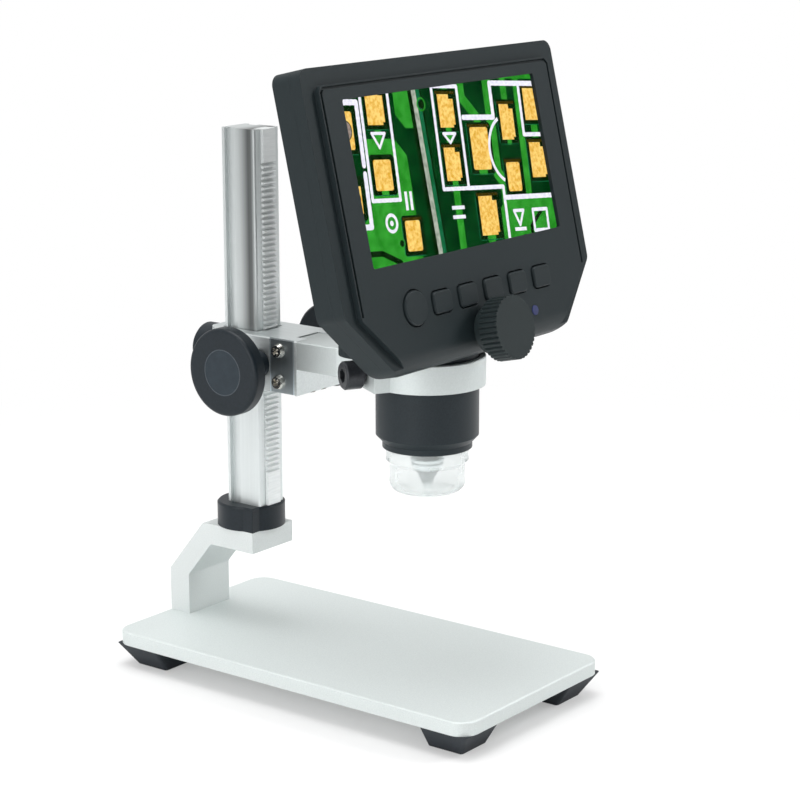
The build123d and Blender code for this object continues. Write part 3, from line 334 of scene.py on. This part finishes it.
def dress_optics():
    dress(clear(
        "window", (0.97, 0.98, 0.98), (0.9991, 1.0, 1.0), rough=(0.0, 0.01),
        scale=700.0, transmission=1.0, ior=1.06,
    ), "screen_window")
    # Hazy diffuser: part of the light goes through, part comes back white.
    dress(clear(
        "milky_nose", (0.88, 0.915, 0.91), (0.90, 0.935, 0.93), rough=(0.04, 0.08),
        scale=220.0, transmission=0.74, ior=1.06,
    ), "nose_cone")
    dress(clear(
        "lens_glass", (0.90, 0.93, 0.98), (0.927, 0.9579, 1.0), rough=(0.0, 0.02),
        scale=700.0, transmission=1.0, ior=1.6,
    ), "front_lens", "rear_lens")
    dress(glowing("led_light", (0.82, 0.88, 1.0), (0.95, 0.97, 1.0), 2.0), "leds")
    dress(glowing("indicator", (0.02, 0.03, 0.13), (0.05, 0.07, 0.26), 0.55), "indicator_led")
    dress(glowing("panel", (0.005, 0.03, 0.01), (0.01, 0.05, 0.02), 0.4), "lcd_panel")


# ---- pieces that Blender adds or cuts ------------------------------------------------------------
sharp_angle = radians(32)
weld_distance = 0.002 * mm
lathe_steps = 72
cutter_lead = 0.5  # a recess's cutter starts this far outside the face


def shade(shape):
    """Smooth faces, with the edges between faces at a sharp angle kept sharp."""
    for face in shape.faces:
        face.smooth = True
    for edge in shape.edges:
        edge.smooth = len(edge.link_faces) == 2 and edge.calc_face_angle(0) < sharp_angle


def link_object(name, data):
    item = bpy.data.objects.new(name, data)
    bpy.context.scene.collection.objects.link(item)
    return item


def mesh_object(name, shape, material=None):
    """An object from a bmesh, which this uses up."""
    data = bpy.data.meshes.new(name)
    shape.to_mesh(data)
    shape.free()
    if material:
        data.materials.append(material)
    return link_object(name, data)


def closed_object(name, shape, material=None):
    """An object from a closed bmesh, with its faces turned outward and its sharp edges marked."""
    bmesh.ops.recalc_face_normals(shape, faces=shape.faces)
    shade(shape)
    return mesh_object(name, shape, material)


def finish_piece(name, shape, material, body):
    """A piece of the visual model, riding on its body."""
    piece = closed_object(name, shape, material)
    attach(piece, body)
    return piece


def bridge(shape, here, there):
    """Faces from one closed row of points to the next."""
    for k in range(len(here)):
        j = (k + 1) % len(here)
        shape.faces.new([here[k], here[j], there[j], there[k]])


def lathe(name, outline, place, turn, material, body):
    """A closed outline of (radius, height), turned about the Z axis and put in its place."""
    shape = bmesh.new()
    rows = []
    for n in range(lathe_steps):
        a = 2 * pi * n / lathe_steps
        points = [Vector((r * cos(a), r * sin(a), h)) * mm for r, h in outline]
        rows.append([shape.verts.new(place + turn @ point) for point in points])
    for here, there in zip(rows, rows[1:] + rows[:1]):
        bridge(shape, here, there)
    finish_piece(name, shape, material, body)


def prism(corners, start, along):
    """A cutter: a flat outline of points, drawn out along a vector."""
    shape = bmesh.new()
    near = [shape.verts.new(start + corner) for corner in corners]
    far = [shape.verts.new(start + corner + along) for corner in corners]
    shape.faces.new(near)
    shape.faces.new(far[::-1])
    bridge(shape, near, far)
    return closed_object("cutter", shape)


def cross_recess(face, outward, length, width, depth):
    """Cutters for a cross recess in a screw head whose face has its middle at a point."""
    across = outward.orthogonal().normalized()
    other = outward.cross(across)
    start = face + outward * cutter_lead * mm
    along = -outward * (depth + cutter_lead) * mm
    corners = ((-1, -1), (1, -1), (1, 1), (-1, 1))
    return [
        prism([(u * length * i + v * width * j) * 0.5 * mm for i, j in corners], start, along)
        for u, v in ((across, other), (other, across))
    ]


def groove_cutter(points, width, depth):
    """A channel along a line on the head's front face, mitred at its corners."""
    front = -1  # it starts this far in front of the face
    shape = bmesh.new()
    rings = []
    for n, (u, v) in enumerate(points):
        sides = []
        for start, end in zip(points[max(n - 1, 0):n + 1], points[max(n, 1):n + 2]):
            step = Vector((end[0] - start[0], end[1] - start[1])).normalized()
            sides.append(Vector((-step.y, step.x)))
        mean = sum(sides, Vector((0, 0))).normalized()
        reach = width / 2 / mean.dot(sides[0])
        left = (u + mean.x * reach, v + mean.y * reach)
        right = (u - mean.x * reach, v - mean.y * reach)
        corners = ((*left, front), (*right, front), (*right, depth), (*left, depth))
        rings.append([shape.verts.new(head @ (Vector((x, d, z)) * mm)) for x, z, d in corners])
    for here, there in zip(rings, rings[1:]):
        bridge(shape, here, there)
    shape.faces.new(rings[0][::-1])
    shape.faces.new(rings[-1])
    return closed_object("cutter", shape)


def carve(name, cutters, body):
    """A copy of a CAD node with cutters taken out of it, which stands for the node."""
    shape = bmesh.new()
    shape.from_mesh(nodes[name].data)
    bmesh.ops.remove_doubles(shape, verts=shape.verts, dist=weld_distance)
    piece = finish_piece(name + "_carved", shape, nodes[name].data.materials[0], body)
    for cutter in cutters:
        cut = piece.modifiers.new("cut", "BOOLEAN")
        cut.operation = "DIFFERENCE"
        cut.solver = "EXACT"
        cut.object = cutter
    evaluated = piece.evaluated_get(bpy.context.evaluated_depsgraph_get())
    whole = bpy.data.meshes.new_from_object(evaluated)
    piece.modifiers.clear()
    shape = bmesh.new()
    shape.from_mesh(whole)
    shade(shape)
    shape.to_mesh(whole)
    shape.free()
    piece.data = whole
    whole.name = name + "_carved"
    for cutter in cutters:
        bpy.data.objects.remove(cutter)
    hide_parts(name)


def carve_seam():
    """The seam round the raised front panel, open at the bottom."""
    left, top, low, corner = -56.1, 28.1, -37.0, 1.2
    width, depth = 0.8, 0.7
    seam = [
        (left, low), (left, top - corner), (left + corner, top),
        (-left - corner, top), (-left, top - corner), (-left, low),
    ]
    carve("front_bezel", [groove_cutter(seam, width, depth)], "head")


def carve_screws():
    """Cross recesses in the screws that show."""
    down = Vector((0, 0, -1))
    ends = (-1, 1)
    recesses = [
        # node, its body, the way its heads face, (length, width, depth) of a slot, and the
        # middles of the heads in millimetres
        (
            "side_plate_screws", "carriage", Vector((-1, 0, 0)), (2.7, 0.75, 1.0),
            [Vector((-12.6, 20.915, pinion_z + 5.1 * i)) for i in ends],
        ),
        (
            "foot_screws", "stand", down, (1.7, 0.45, 0.6),
            [Vector((25.5 * i, 59.9 * j, 1.0)) for i in ends for j in ends],
        ),
        (
            "bracket_screws", "stand", down, (4.2, 1.0, 1.6),
            [Vector((6.0 * i, 66.85, 7.5)) for i in ends],
        ),
        (
            "housing_screws", "head", head.to_3x3() @ Vector((0, 1, 0)), (2.3, 0.62, 0.78),
            [head @ (Vector((57.4 * i, 11.0, v)) * mm) / mm for i in ends for v in (28.6, -31.0)],
        ),
    ]
    for name, body, outward, sizes, faces in recesses:
        cutters = []
        for face in faces:
            cutters += cross_recess(face * mm, outward, *sizes)
        carve(name, cutters, body)


def make_reflector():
    """Funnel in the nose, grey and shiny, standing for the painted reflection seen in the nose's
    conical bore, with painted highlights for the two bright rings above it.
    """
    bottom, top = 71.2, 79.0
    outer = [
        (4.9, top), (4.9, 78.3), (4.3, 78.1), (4.3, 77.7),
        (4.7, 77.5), (4.7, 76.9), (3.9, 76.6), (3.6, 75.9), (1.5, bottom),
    ]
    inner = [(1.3, bottom), (3.35, 75.9), (3.65, 76.8), (3.65, top)]
    # Painted highlights and shade along its height: the bright bands are the two rings.
    greys = [
        (0.0, 0.50), (0.56, 0.36), (0.64, 0.60), (0.70, 1.0),
        (0.79, 1.0), (0.84, 0.55), (0.90, 1.0), (1.0, 0.9),
    ]
    silver = surface(
        "nose_painted_reflection", (0.84, 0.90, 0.91), (0.96, 1.0, 1.0), rough=(0.26, 0.40),
        scale=700.0, bump=0.1, edge=0.1, metallic=0.35, stretch=(1, 1, 0.3),
        tones=[("Z", bottom, top, greys)],
    )
    place = Vector((0, nose_y * mm, 0))
    upright = Matrix.Identity(3)
    lathe("nose_reflector", outer + inner, place, upright, silver, "head")


def make_cap_edges():
    """Fine ring, a little lighter, at the edge of the disc let into each knob: a painted highlight.
    """
    light = surface(
        "cap_rim_highlight", (0.030, 0.042, 0.055), (0.046, 0.060, 0.074), rough=(0.35, 0.45),
        scale=1500.0, bump=0.1, edge=0.05,
    )
    inner, outer, near, far = 7.1, 7.45, 28.86, 28.895
    outline = [(inner, near), (outer, near), (outer, far), (inner, far)]
    place = Vector((0, pinion_y, pinion_z)) * mm
    for name, side in (("left_cap_edge", -1), ("right_cap_edge", 1)):
        turn = Matrix.Rotation(side * pi / 2, 3, "Y")
        lathe(name, outline, place, turn, light, "pinion_shaft_set")


# ---- the picture on the screen -------------------------------------------------------------------
# A circuit board seen through the microscope: flat layers, in millimetres from the middle.
picture_half = (51.0, 26.0)  # half its width and height
picture_depth = 2.045  # just in front of the panel's own face
layer_step = 0.004  # from one layer of the picture to the next
picture_turn = radians(-5)  # the specimen lies a little askew
picture_light = 1.12  # makes up for what the cover glass takes
west, east, south, north = -60, 60, -34, 34  # ends of the layout, past where it is cut off
wave_length = 0.9  # of the wander in a line's width

pads = [
    # x0, x1, y0, y1 of a gold pad
    (-51, -44, 6, 17), (-51, -44, -13, -3), (-37, -29, 13, 23), (-37, -29, -6, 3),
    (-3, 4.5, 12, 22), (-3, 4.5, -4, 6), (11, 20, -1, 12), (11, 20, -21, -9),
    (27.5, 34.5, 8, 19), (27.5, 34.5, -8, 1), (41, 49, 14, 24), (41, 49, -4, 7),
    (-26, -19, -24, -15),
]
solder = [(-47.6, 11.5), (-47.6, -8)]
holes = [(-28.5, -21.5), (48, -21.5), (-11.2, 19.0)]


def picture_place(point, depth):
    """A point of the layout, turned with the specimen, in the frame's coordinates."""
    u = point[0] * cos(picture_turn) - point[1] * sin(picture_turn)
    v = point[0] * sin(picture_turn) + point[1] * cos(picture_turn)
    return head @ (Vector((u, depth, v)) * mm)


def clip_to_picture(shape):
    """Cuts a layer off at the four sides of the lit picture."""
    for axis, half in ((Vector((1, 0, 0)), picture_half[0]), (Vector((0, 0, 1)), picture_half[1])):
        for side in (-1, 1):
            normal = head.to_3x3() @ (axis * side)
            point = head @ (axis * side * half * mm)
            everything = shape.verts[:] + shape.edges[:] + shape.faces[:]
            bmesh.ops.bisect_plane(
                shape, geom=everything, plane_co=point, plane_no=normal, clear_outer=True,
            )


def picture_layer(name, level, material, outlines):
    """Flat outlines in one layer. A higher level lies nearer to the eye."""
    depth = picture_depth - level * layer_step
    shape = bmesh.new()
    for outline in outlines:
        shape.faces.new([shape.verts.new(picture_place(point, depth)) for point in outline])
    clip_to_picture(shape)
    piece = mesh_object("picture_" + name, shape, material)
    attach(piece, "head")


def slab(x0, x1, y0, y1, cut=0.0):
    """Rectangle, with its corners cut off where a cut is given."""
    if not cut:
        return [(x0, y0), (x1, y0), (x1, y1), (x0, y1)]
    return [
        (x0 + cut, y0), (x1 - cut, y0), (x1, y0 + cut), (x1, y1 - cut),
        (x1 - cut, y1), (x0 + cut, y1), (x0, y1 - cut), (x0, y0 + cut),
    ]


def notched(x0, x1, y0, y1, nick):
    """Rectangle with a nick in its two right-hand corners."""
    return [
        (x0, y0), (x1 - nick * 0.7, y0), (x1 - nick * 0.7, y0 + nick * 0.6), (x1, y0 + nick * 0.6),
        (x1, y1 - nick), (x1 - nick * 1.5, y1 - nick), (x1 - nick * 1.5, y1), (x0, y1),
    ]


def disc(x, y, radius, sides=32):
    angles = [2 * pi * n / sides for n in range(sides)]
    return [(x + radius * cos(a), y + radius * sin(a)) for a in angles]


def ring(x, y, outer, inner, start=0.0, end=2 * pi, steps=36):
    """Quads round an arc."""
    quads = []
    for n in range(steps):
        a = start + (end - start) * n / steps
        b = start + (end - start) * (n + 1) / steps
        quads.append([
            (x + inner * cos(a), y + inner * sin(a)), (x + outer * cos(a), y + outer * sin(a)),
            (x + outer * cos(b), y + outer * sin(b)), (x + inner * cos(b), y + inner * sin(b)),
        ])
    return quads


def stroke(points, width, wobble=0.0):
    """Quads along a line, with a disc at each corner. The width wanders where it wobbles."""
    outlines = []
    for number, ((x0, y0), (x1, y1)) in enumerate(zip(points, points[1:])):
        length = ((x1 - x0) ** 2 + (y1 - y0) ** 2) ** 0.5
        across_x, across_y = (y0 - y1) / length, (x1 - x0) / length
        count = max(1, int(length / wave_length)) if wobble else 1
        sides = []
        for n in range(count + 1):
            t = n / count
            # Two unlike waves, so that the two sides of a line don't match.
            one = width / 2 * (1 + wobble * sin(3.1 * n + 1.7 * number + x0))
            two = width / 2 * (1 + wobble * sin(2.3 * n + 2.9 * number + y0))
            x, y = x0 + (x1 - x0) * t, y0 + (y1 - y0) * t
            sides.append((
                (x + across_x * one, y + across_y * one), (x - across_x * two, y - across_y * two),
            ))
        outlines += [[a[0], a[1], b[1], b[0]] for a, b in zip(sides, sides[1:])]
    return outlines + [disc(x, y, width / 2, 12) for x, y in points]


def strokes(lines):
    """Quads along several lines, each given as its points, width and wobble."""
    outlines = []
    for line in lines:
        outlines += stroke(*line)
    return outlines


def lit(name, low_colour, high_colour, scale, detail=3.0, stops=(0.35, 0.65)):
    """Light of one patch of the picture, mottled between two colours."""
    material, tree, shader = new_material("picture_" + name)
    mottled(tree, shader, "Emission Color", low_colour, high_colour, scale, detail, stops)
    set_inputs(shader, {
        "Base Color": (0, 0, 0, 1), "Specular IOR Level": 0.0, "Emission Strength": picture_light,
    })
    return material


def copper_areas():
    """Green areas of the board with copper under them."""
    return [
        [
            (west, south), (west, -17), (-46, -17), (-40, -11),
            (-40, 9), (-26, 9), (-21, 4), (-19, south),
        ],
        [(west, north), (west, 21), (-50, 21), (-41, 29), (-41, north)],
        [(22, south), (22, -13), (26, -9.5), (east, -9.5), (east, south)],
        [(-24, north), (-24, 16), (-20, 12), (-15.5, 12), (-15.5, north)],
        [(6, north), (6, 27), (east, 27), (east, north)],
    ]


def copper_tracks():
    return strokes([
        ([(22.5, north), (22.5, -2), (25.5, -5), (25.5, -12)], 4.4),
        ([(0.7, south), (0.7, north)], 3.2),
        ([(15.5, south), (15.5, -12)], 3.4),
        ([(15.5, 10), (15.5, 15), (9, 21), (9, north)], 3.4),
        ([(31, 18), (31, north)], 3.0),
        ([(31, -6), (31, -14)], 3.0),
        ([(37.8, north), (37.8, -12)], 3.0),
        ([(45, 6), (45, 15)], 3.4),
        ([(-33, 2), (-33, 14)], 3.0),
        ([(-47.5, -4), (-47.5, 8)], 3.0),
    ])


def bare_gaps():
    """Dark gaps round the pads, and lines where the copper is parted."""
    gaps = [slab(x0 - 1.7, x1 + 1.7, y0 - 1.5, y1 + 1.5, 0.9) for x0, x1, y0, y1 in pads]
    return gaps + strokes([
        ([(west, -24), (-38, -24), (-30, -27), (-27, south)], 1.7),
        ([(-41.5, north), (-41.5, 24), (-48, 19)], 1.5),
        ([(37, south), (37, -19), (43, -14.5)], 1.4),
    ])


def gap_rims():
    """Lit rims at the left and lower sides of the gaps."""
    upright = [slab(x0 - 1.7, x0 - 1.35, y0 - 1.0, y1 + 1.0) for x0, x1, y0, y1 in pads]
    level = [slab(x0 - 1.0, x1 + 1.0, y0 - 1.5, y0 - 1.25) for x0, x1, y0, y1 in pads]
    return upright + level


def gold_pads():
    """Every third pad is plain, and the others are nicked."""
    return [
        notched(*pad, 1.4) if number % 3 else slab(*pad, 0.5) for number, pad in enumerate(pads)
    ]


def printed_lines():
    """White print on the board: frames, an arc and small plain figures."""
    outlines = strokes([
        ([(west, 19.6), (-41.2, 19.6), (-41.2, 1.5)], 1.7, 0.06),
        ([(-41.2, -1.0), (-41.2, -16.2), (west, -16.2)], 1.7, 0.06),
        ([(-39.3, north), (-39.3, -8.8), (-26.6, -8.8), (-26.6, north)], 1.2, 0.08),
        ([(-5.4, 24.4), (-5.4, -6.4), (7, -6.4), (7, 24.4), (-5.4, 24.4)], 1.2, 0.08),
        ([(8.6, 15), (24, 15), (24, 25.5), (east, 25.5)], 1.6, 0.07),
        ([(7, -6.4), (24.6, -6.4), (24.6, south)], 1.3, 0.08),
        ([(24.6, -9.8), (east, -9.8)], 1.5, 0.07),
        ([(39, 25.5), (39, 9.5), (east, 9.5)], 1.3, 0.08),
        ([(-36, 10.6), (-30, 10.6), (-33, 6.4), (-36, 10.6)], 0.9, 0.06),
        ([(-2.2, 10.2), (3.7, 10.2)], 0.9, 0.06),
        ([(-2.2, 10.2), (0.8, 7.4), (3.7, 10.2)], 0.9, 0.06),
        ([(28.5, -14.0), (33.5, -14.0), (31.0, -18.5), (28.5, -14.0)], 1.0, 0.06),
        ([(38.5, -20.5), (38.5, -14), (46, -14), (46, -20.5), (38.5, -20.5)], 1.1, 0.08),
    ])
    outlines += ring(30.5, 5, 11.0, 9.9, radians(115), radians(245))
    outlines += ring(-32, -15.5, 2.9, 1.9) + ring(-32, -15.5, 0.8, 0.0)
    return outlines + [
        slab(-24.5, -23.3, -12.0, -6.5), slab(-22.2, -21.0, -12.0, -6.5),
        slab(28.0, 34.0, -20.3, -19.2),
        slab(-2.6, 3.6, -12.6, -11.5), slab(-2.6, 3.6, -15.4, -14.3),
    ]


def make_picture():
    bright = lit("bright", (0.016, 0.22, 0.014), (0.034, 0.33, 0.030), 260.0)
    dark = lit("shade", (0.0, 0.008, 0.0), (0.004, 0.022, 0.004), 400.0)
    rim = lit("rim", (0.004, 0.10, 0.03), (0.01, 0.15, 0.06), 300.0)
    base = lit("base", (0.0, 0.022, 0.003), (0.001, 0.045, 0.007), 160.0)
    gold = lit("gold", (0.72, 0.37, 0.035), (0.96, 0.66, 0.19), 800.0, 6.0, (0.34, 0.62))
    wall = lit("wall", (0.030, 0.022, 0.0), (0.055, 0.040, 0.004), 900.0)
    grey = lit("grey", (0.20, 0.15, 0.12), (0.36, 0.29, 0.26), 1400.0, 4.0)
    pale = lit("white", (0.74, 0.73, 0.84), (0.90, 0.89, 0.98), 900.0)
    groove = lit("groove", (0.24, 0.28, 0.22), (0.46, 0.50, 0.42), 700.0, 4.0)

    picture_layer("ground", 0, base, [slab(west, east, south, north)])
    picture_layer("pours", 1, bright, copper_areas())
    picture_layer("traces", 1.5, bright, copper_tracks())
    picture_layer("clearances", 2, dark, bare_gaps())
    necks = [slab(x0 + 2.4, x1 - 2.4, y0 - 1.6, y0 + 0.2) for x0, x1, y0, y1 in pads[3:9]]
    picture_layer("necks", 2.5, bright, necks)
    picture_layer("edges", 3, rim, gap_rims())
    picture_layer("pads", 4, gold, gold_pads())
    walls = [slab(x0 - 0.9, x1 + 0.9, y1 + 0.1, y1 + 0.9) for x0, x1, y0, y1 in pads[4:]]
    picture_layer("walls", 3.5, wall, walls)
    picture_layer("solder", 5, grey, [disc(x, y, 2.9) for x, y in solder])
    rings = [quad for x, y in solder for quad in ring(x, y, 3.1, 2.8)]
    picture_layer("solder_edges", 5.5, dark, rings)
    picture_layer("outlines", 6, pale, printed_lines())
    picture_layer("dots", 7, dark, [
        disc(*holes[0], 1.0), disc(*holes[1], 1.1), disc(*holes[2], 1.3),
        disc(33, -22.4, 1.0), disc(-44.5, 26.5, 1.2),
    ])
    halos = ring(*holes[0], 1.5, 1.2) + ring(*holes[1], 1.6, 1.3) + ring(*holes[2], 2.1, 1.6)
    picture_layer("halos", 7, bright, halos)
    picture_layer("lane", 5, dark, stroke([(-14.6, north), (-9.8, south)], 6.4))
    picture_layer("lane_side", 5.5, rim, stroke([(-13.2, north), (-8.4, south)], 2.2))
    picture_layer("groove", 6, groove, stroke([(-15.0, north), (-10.2, south)], 2.0, 0.06))


# ---- stage, light and camera ---------------------------------------------------------------------
focal_length = 105.13  # on the sensor's width
sensor_width = 36.0
camera_place = Vector((-560.7, -448.6, 264.7)) * mm
camera_turn = radians(-52.5336)  # azimuth, from the front
camera_height = radians(13.4504)  # elevation
camera_roll = radians(-0.091)

floor_reach = 30.0
floor_gap = 0.0002  # keeps the floor clear of the feet
shadow_fade = (0.12, 0.42)  # distances between which the floor turns white
shadow_white = 0.30  # how white it is inside them

world_bright_side = (-0.15, 0.8, 0.35)
world_span = (-0.9, 0.9)  # from facing away from that side to facing it
world_strength = (0.24, 0.86)  # at the two ends of the span

object_middle = (0, 0, 0.12)
lamps = [
    # name, place, aim, size, power in watts
    ("key", (0.7, -0.8, 0.8), object_middle, (0.4, 0.4), 6.2),
    ("side", (-1.3, -0.1, 0.5), object_middle, (0.9, 1.0), 7.0),
    ("top", (-0.1, 0.1, 1.4), (0, 0, 0), (1.0, 1.0), 12.5),
]


def seen_rays(tree):
    """1 for the camera's own rays, also through clear pieces, and 0 for all others."""
    rays = add(tree, "LightPath")
    seen = add(tree, "Math", operation="MAXIMUM")
    link(tree, rays, "Is Camera Ray", seen, 0)
    link(tree, rays, "Is Transmission Ray", seen, 1)
    return seen


def mix_into(tree, amount, shaded, plain, end):
    """Shows the plain shader by the amount, and the shaded one for the rest."""
    mix = add(tree, "MixShader")
    link(tree, amount, "Value", mix, "Fac")
    link(tree, shaded, 0, mix, 1)
    link(tree, plain, 0, mix, 2)
    link(tree, mix, "Shader", tree.nodes[end], "Surface")


def make_floor():
    """Pale floor: near the object it takes shadows, further out it is plain white."""
    size = floor_reach
    corners = [(-size, -size, 0), (size, -size, 0), (size, size, 0), (-size, size, 0)]
    data = bpy.data.meshes.new("floor")
    data.from_pydata(corners, [], [(0, 1, 2, 3)])
    floor = link_object("floor", data)
    floor.location.z = -floor_gap
    material, tree, shader = new_material("floor")
    set_inputs(shader, {
        "Base Color": (0.86, 0.86, 0.86, 1), "Roughness": 0.9, "Specular IOR Level": 0.0,
    })
    place = add(tree, "TexCoord")
    distance = add(tree, "VectorMath", operation="LENGTH")
    link(tree, place, "Object", distance, 0)
    fade = add(tree, "MapRange", interpolation_type="SMOOTHSTEP", **{
        "From Min": shadow_fade[0], "From Max": shadow_fade[1],
        "To Min": shadow_white, "To Max": 1.0,
    })
    link(tree, distance, "Value", fade, "Value")
    amount = add(tree, "Math", operation="MULTIPLY")
    link(tree, fade, "Result", amount, 0)
    link(tree, seen_rays(tree), "Value", amount, 1)
    plain = add(tree, "Emission", Color=(1, 1, 1, 1), Strength=1.0)
    mix_into(tree, amount, shader, plain, "Material Output")
    data.materials.append(material)


def make_world():
    """Studio light from all round, brighter from behind and above. The camera sees it as white."""
    world = bpy.data.worlds.new("studio")
    world.use_nodes = True
    tree = world.node_tree
    dim = tree.nodes["Background"]
    dim.inputs["Color"].default_value = (1, 1, 1, 1)
    place = add(tree, "TexCoord")
    height = add(tree, "VectorMath", operation="DOT_PRODUCT")
    height.inputs[1].default_value = Vector(world_bright_side).normalized()
    link(tree, place, "Generated", height, 0)
    strength = add(tree, "MapRange", **{
        "From Min": world_span[0], "From Max": world_span[1],
        "To Min": world_strength[0], "To Max": world_strength[1],
    })
    link(tree, height, "Value", strength, "Value")
    link(tree, strength, "Result", dim, "Strength")
    plain = add(tree, "Background", Color=(1, 1, 1, 1), Strength=1.0)
    mix_into(tree, seen_rays(tree), dim, plain, "World Output")
    bpy.context.scene.world = world


def make_lamp(name, place, aim, size, power):
    data = bpy.data.lights.new(name, "AREA")
    data.shape = "RECTANGLE"
    data.size, data.size_y = size
    data.energy = power
    lamp = link_object(name, data)
    lamp.location = place
    lamp.rotation_euler = (Vector(aim) - Vector(place)).to_track_quat("-Z", "Y").to_euler()


def make_camera():
    data = bpy.data.cameras.new("camera")
    data.lens = focal_length
    data.sensor_width = sensor_width
    data.clip_start = 0.05
    data.clip_end = 100.0
    camera = link_object("camera", data)
    level = cos(camera_height)
    back = Vector((sin(camera_turn) * level, -cos(camera_turn) * level, sin(camera_height)))
    sideways = Vector((cos(camera_turn), sin(camera_turn), 0))
    up = back.cross(sideways)
    turned = Matrix((sideways, up, back)).transposed() @ Matrix.Rotation(camera_roll, 3, "Z")
    camera.matrix_world = Matrix.Translation(camera_place) @ turned.to_4x4()
    bpy.context.scene.camera = camera


dress_metals()
dress_plastics()
dress_optics()
carve_seam()
carve_screws()
make_reflector()
make_cap_edges()
make_picture()
make_floor()
make_world()
for lamp_settings in lamps:
    make_lamp(*lamp_settings)
make_camera()
bpy.context.scene.view_settings.view_transform = "Standard"
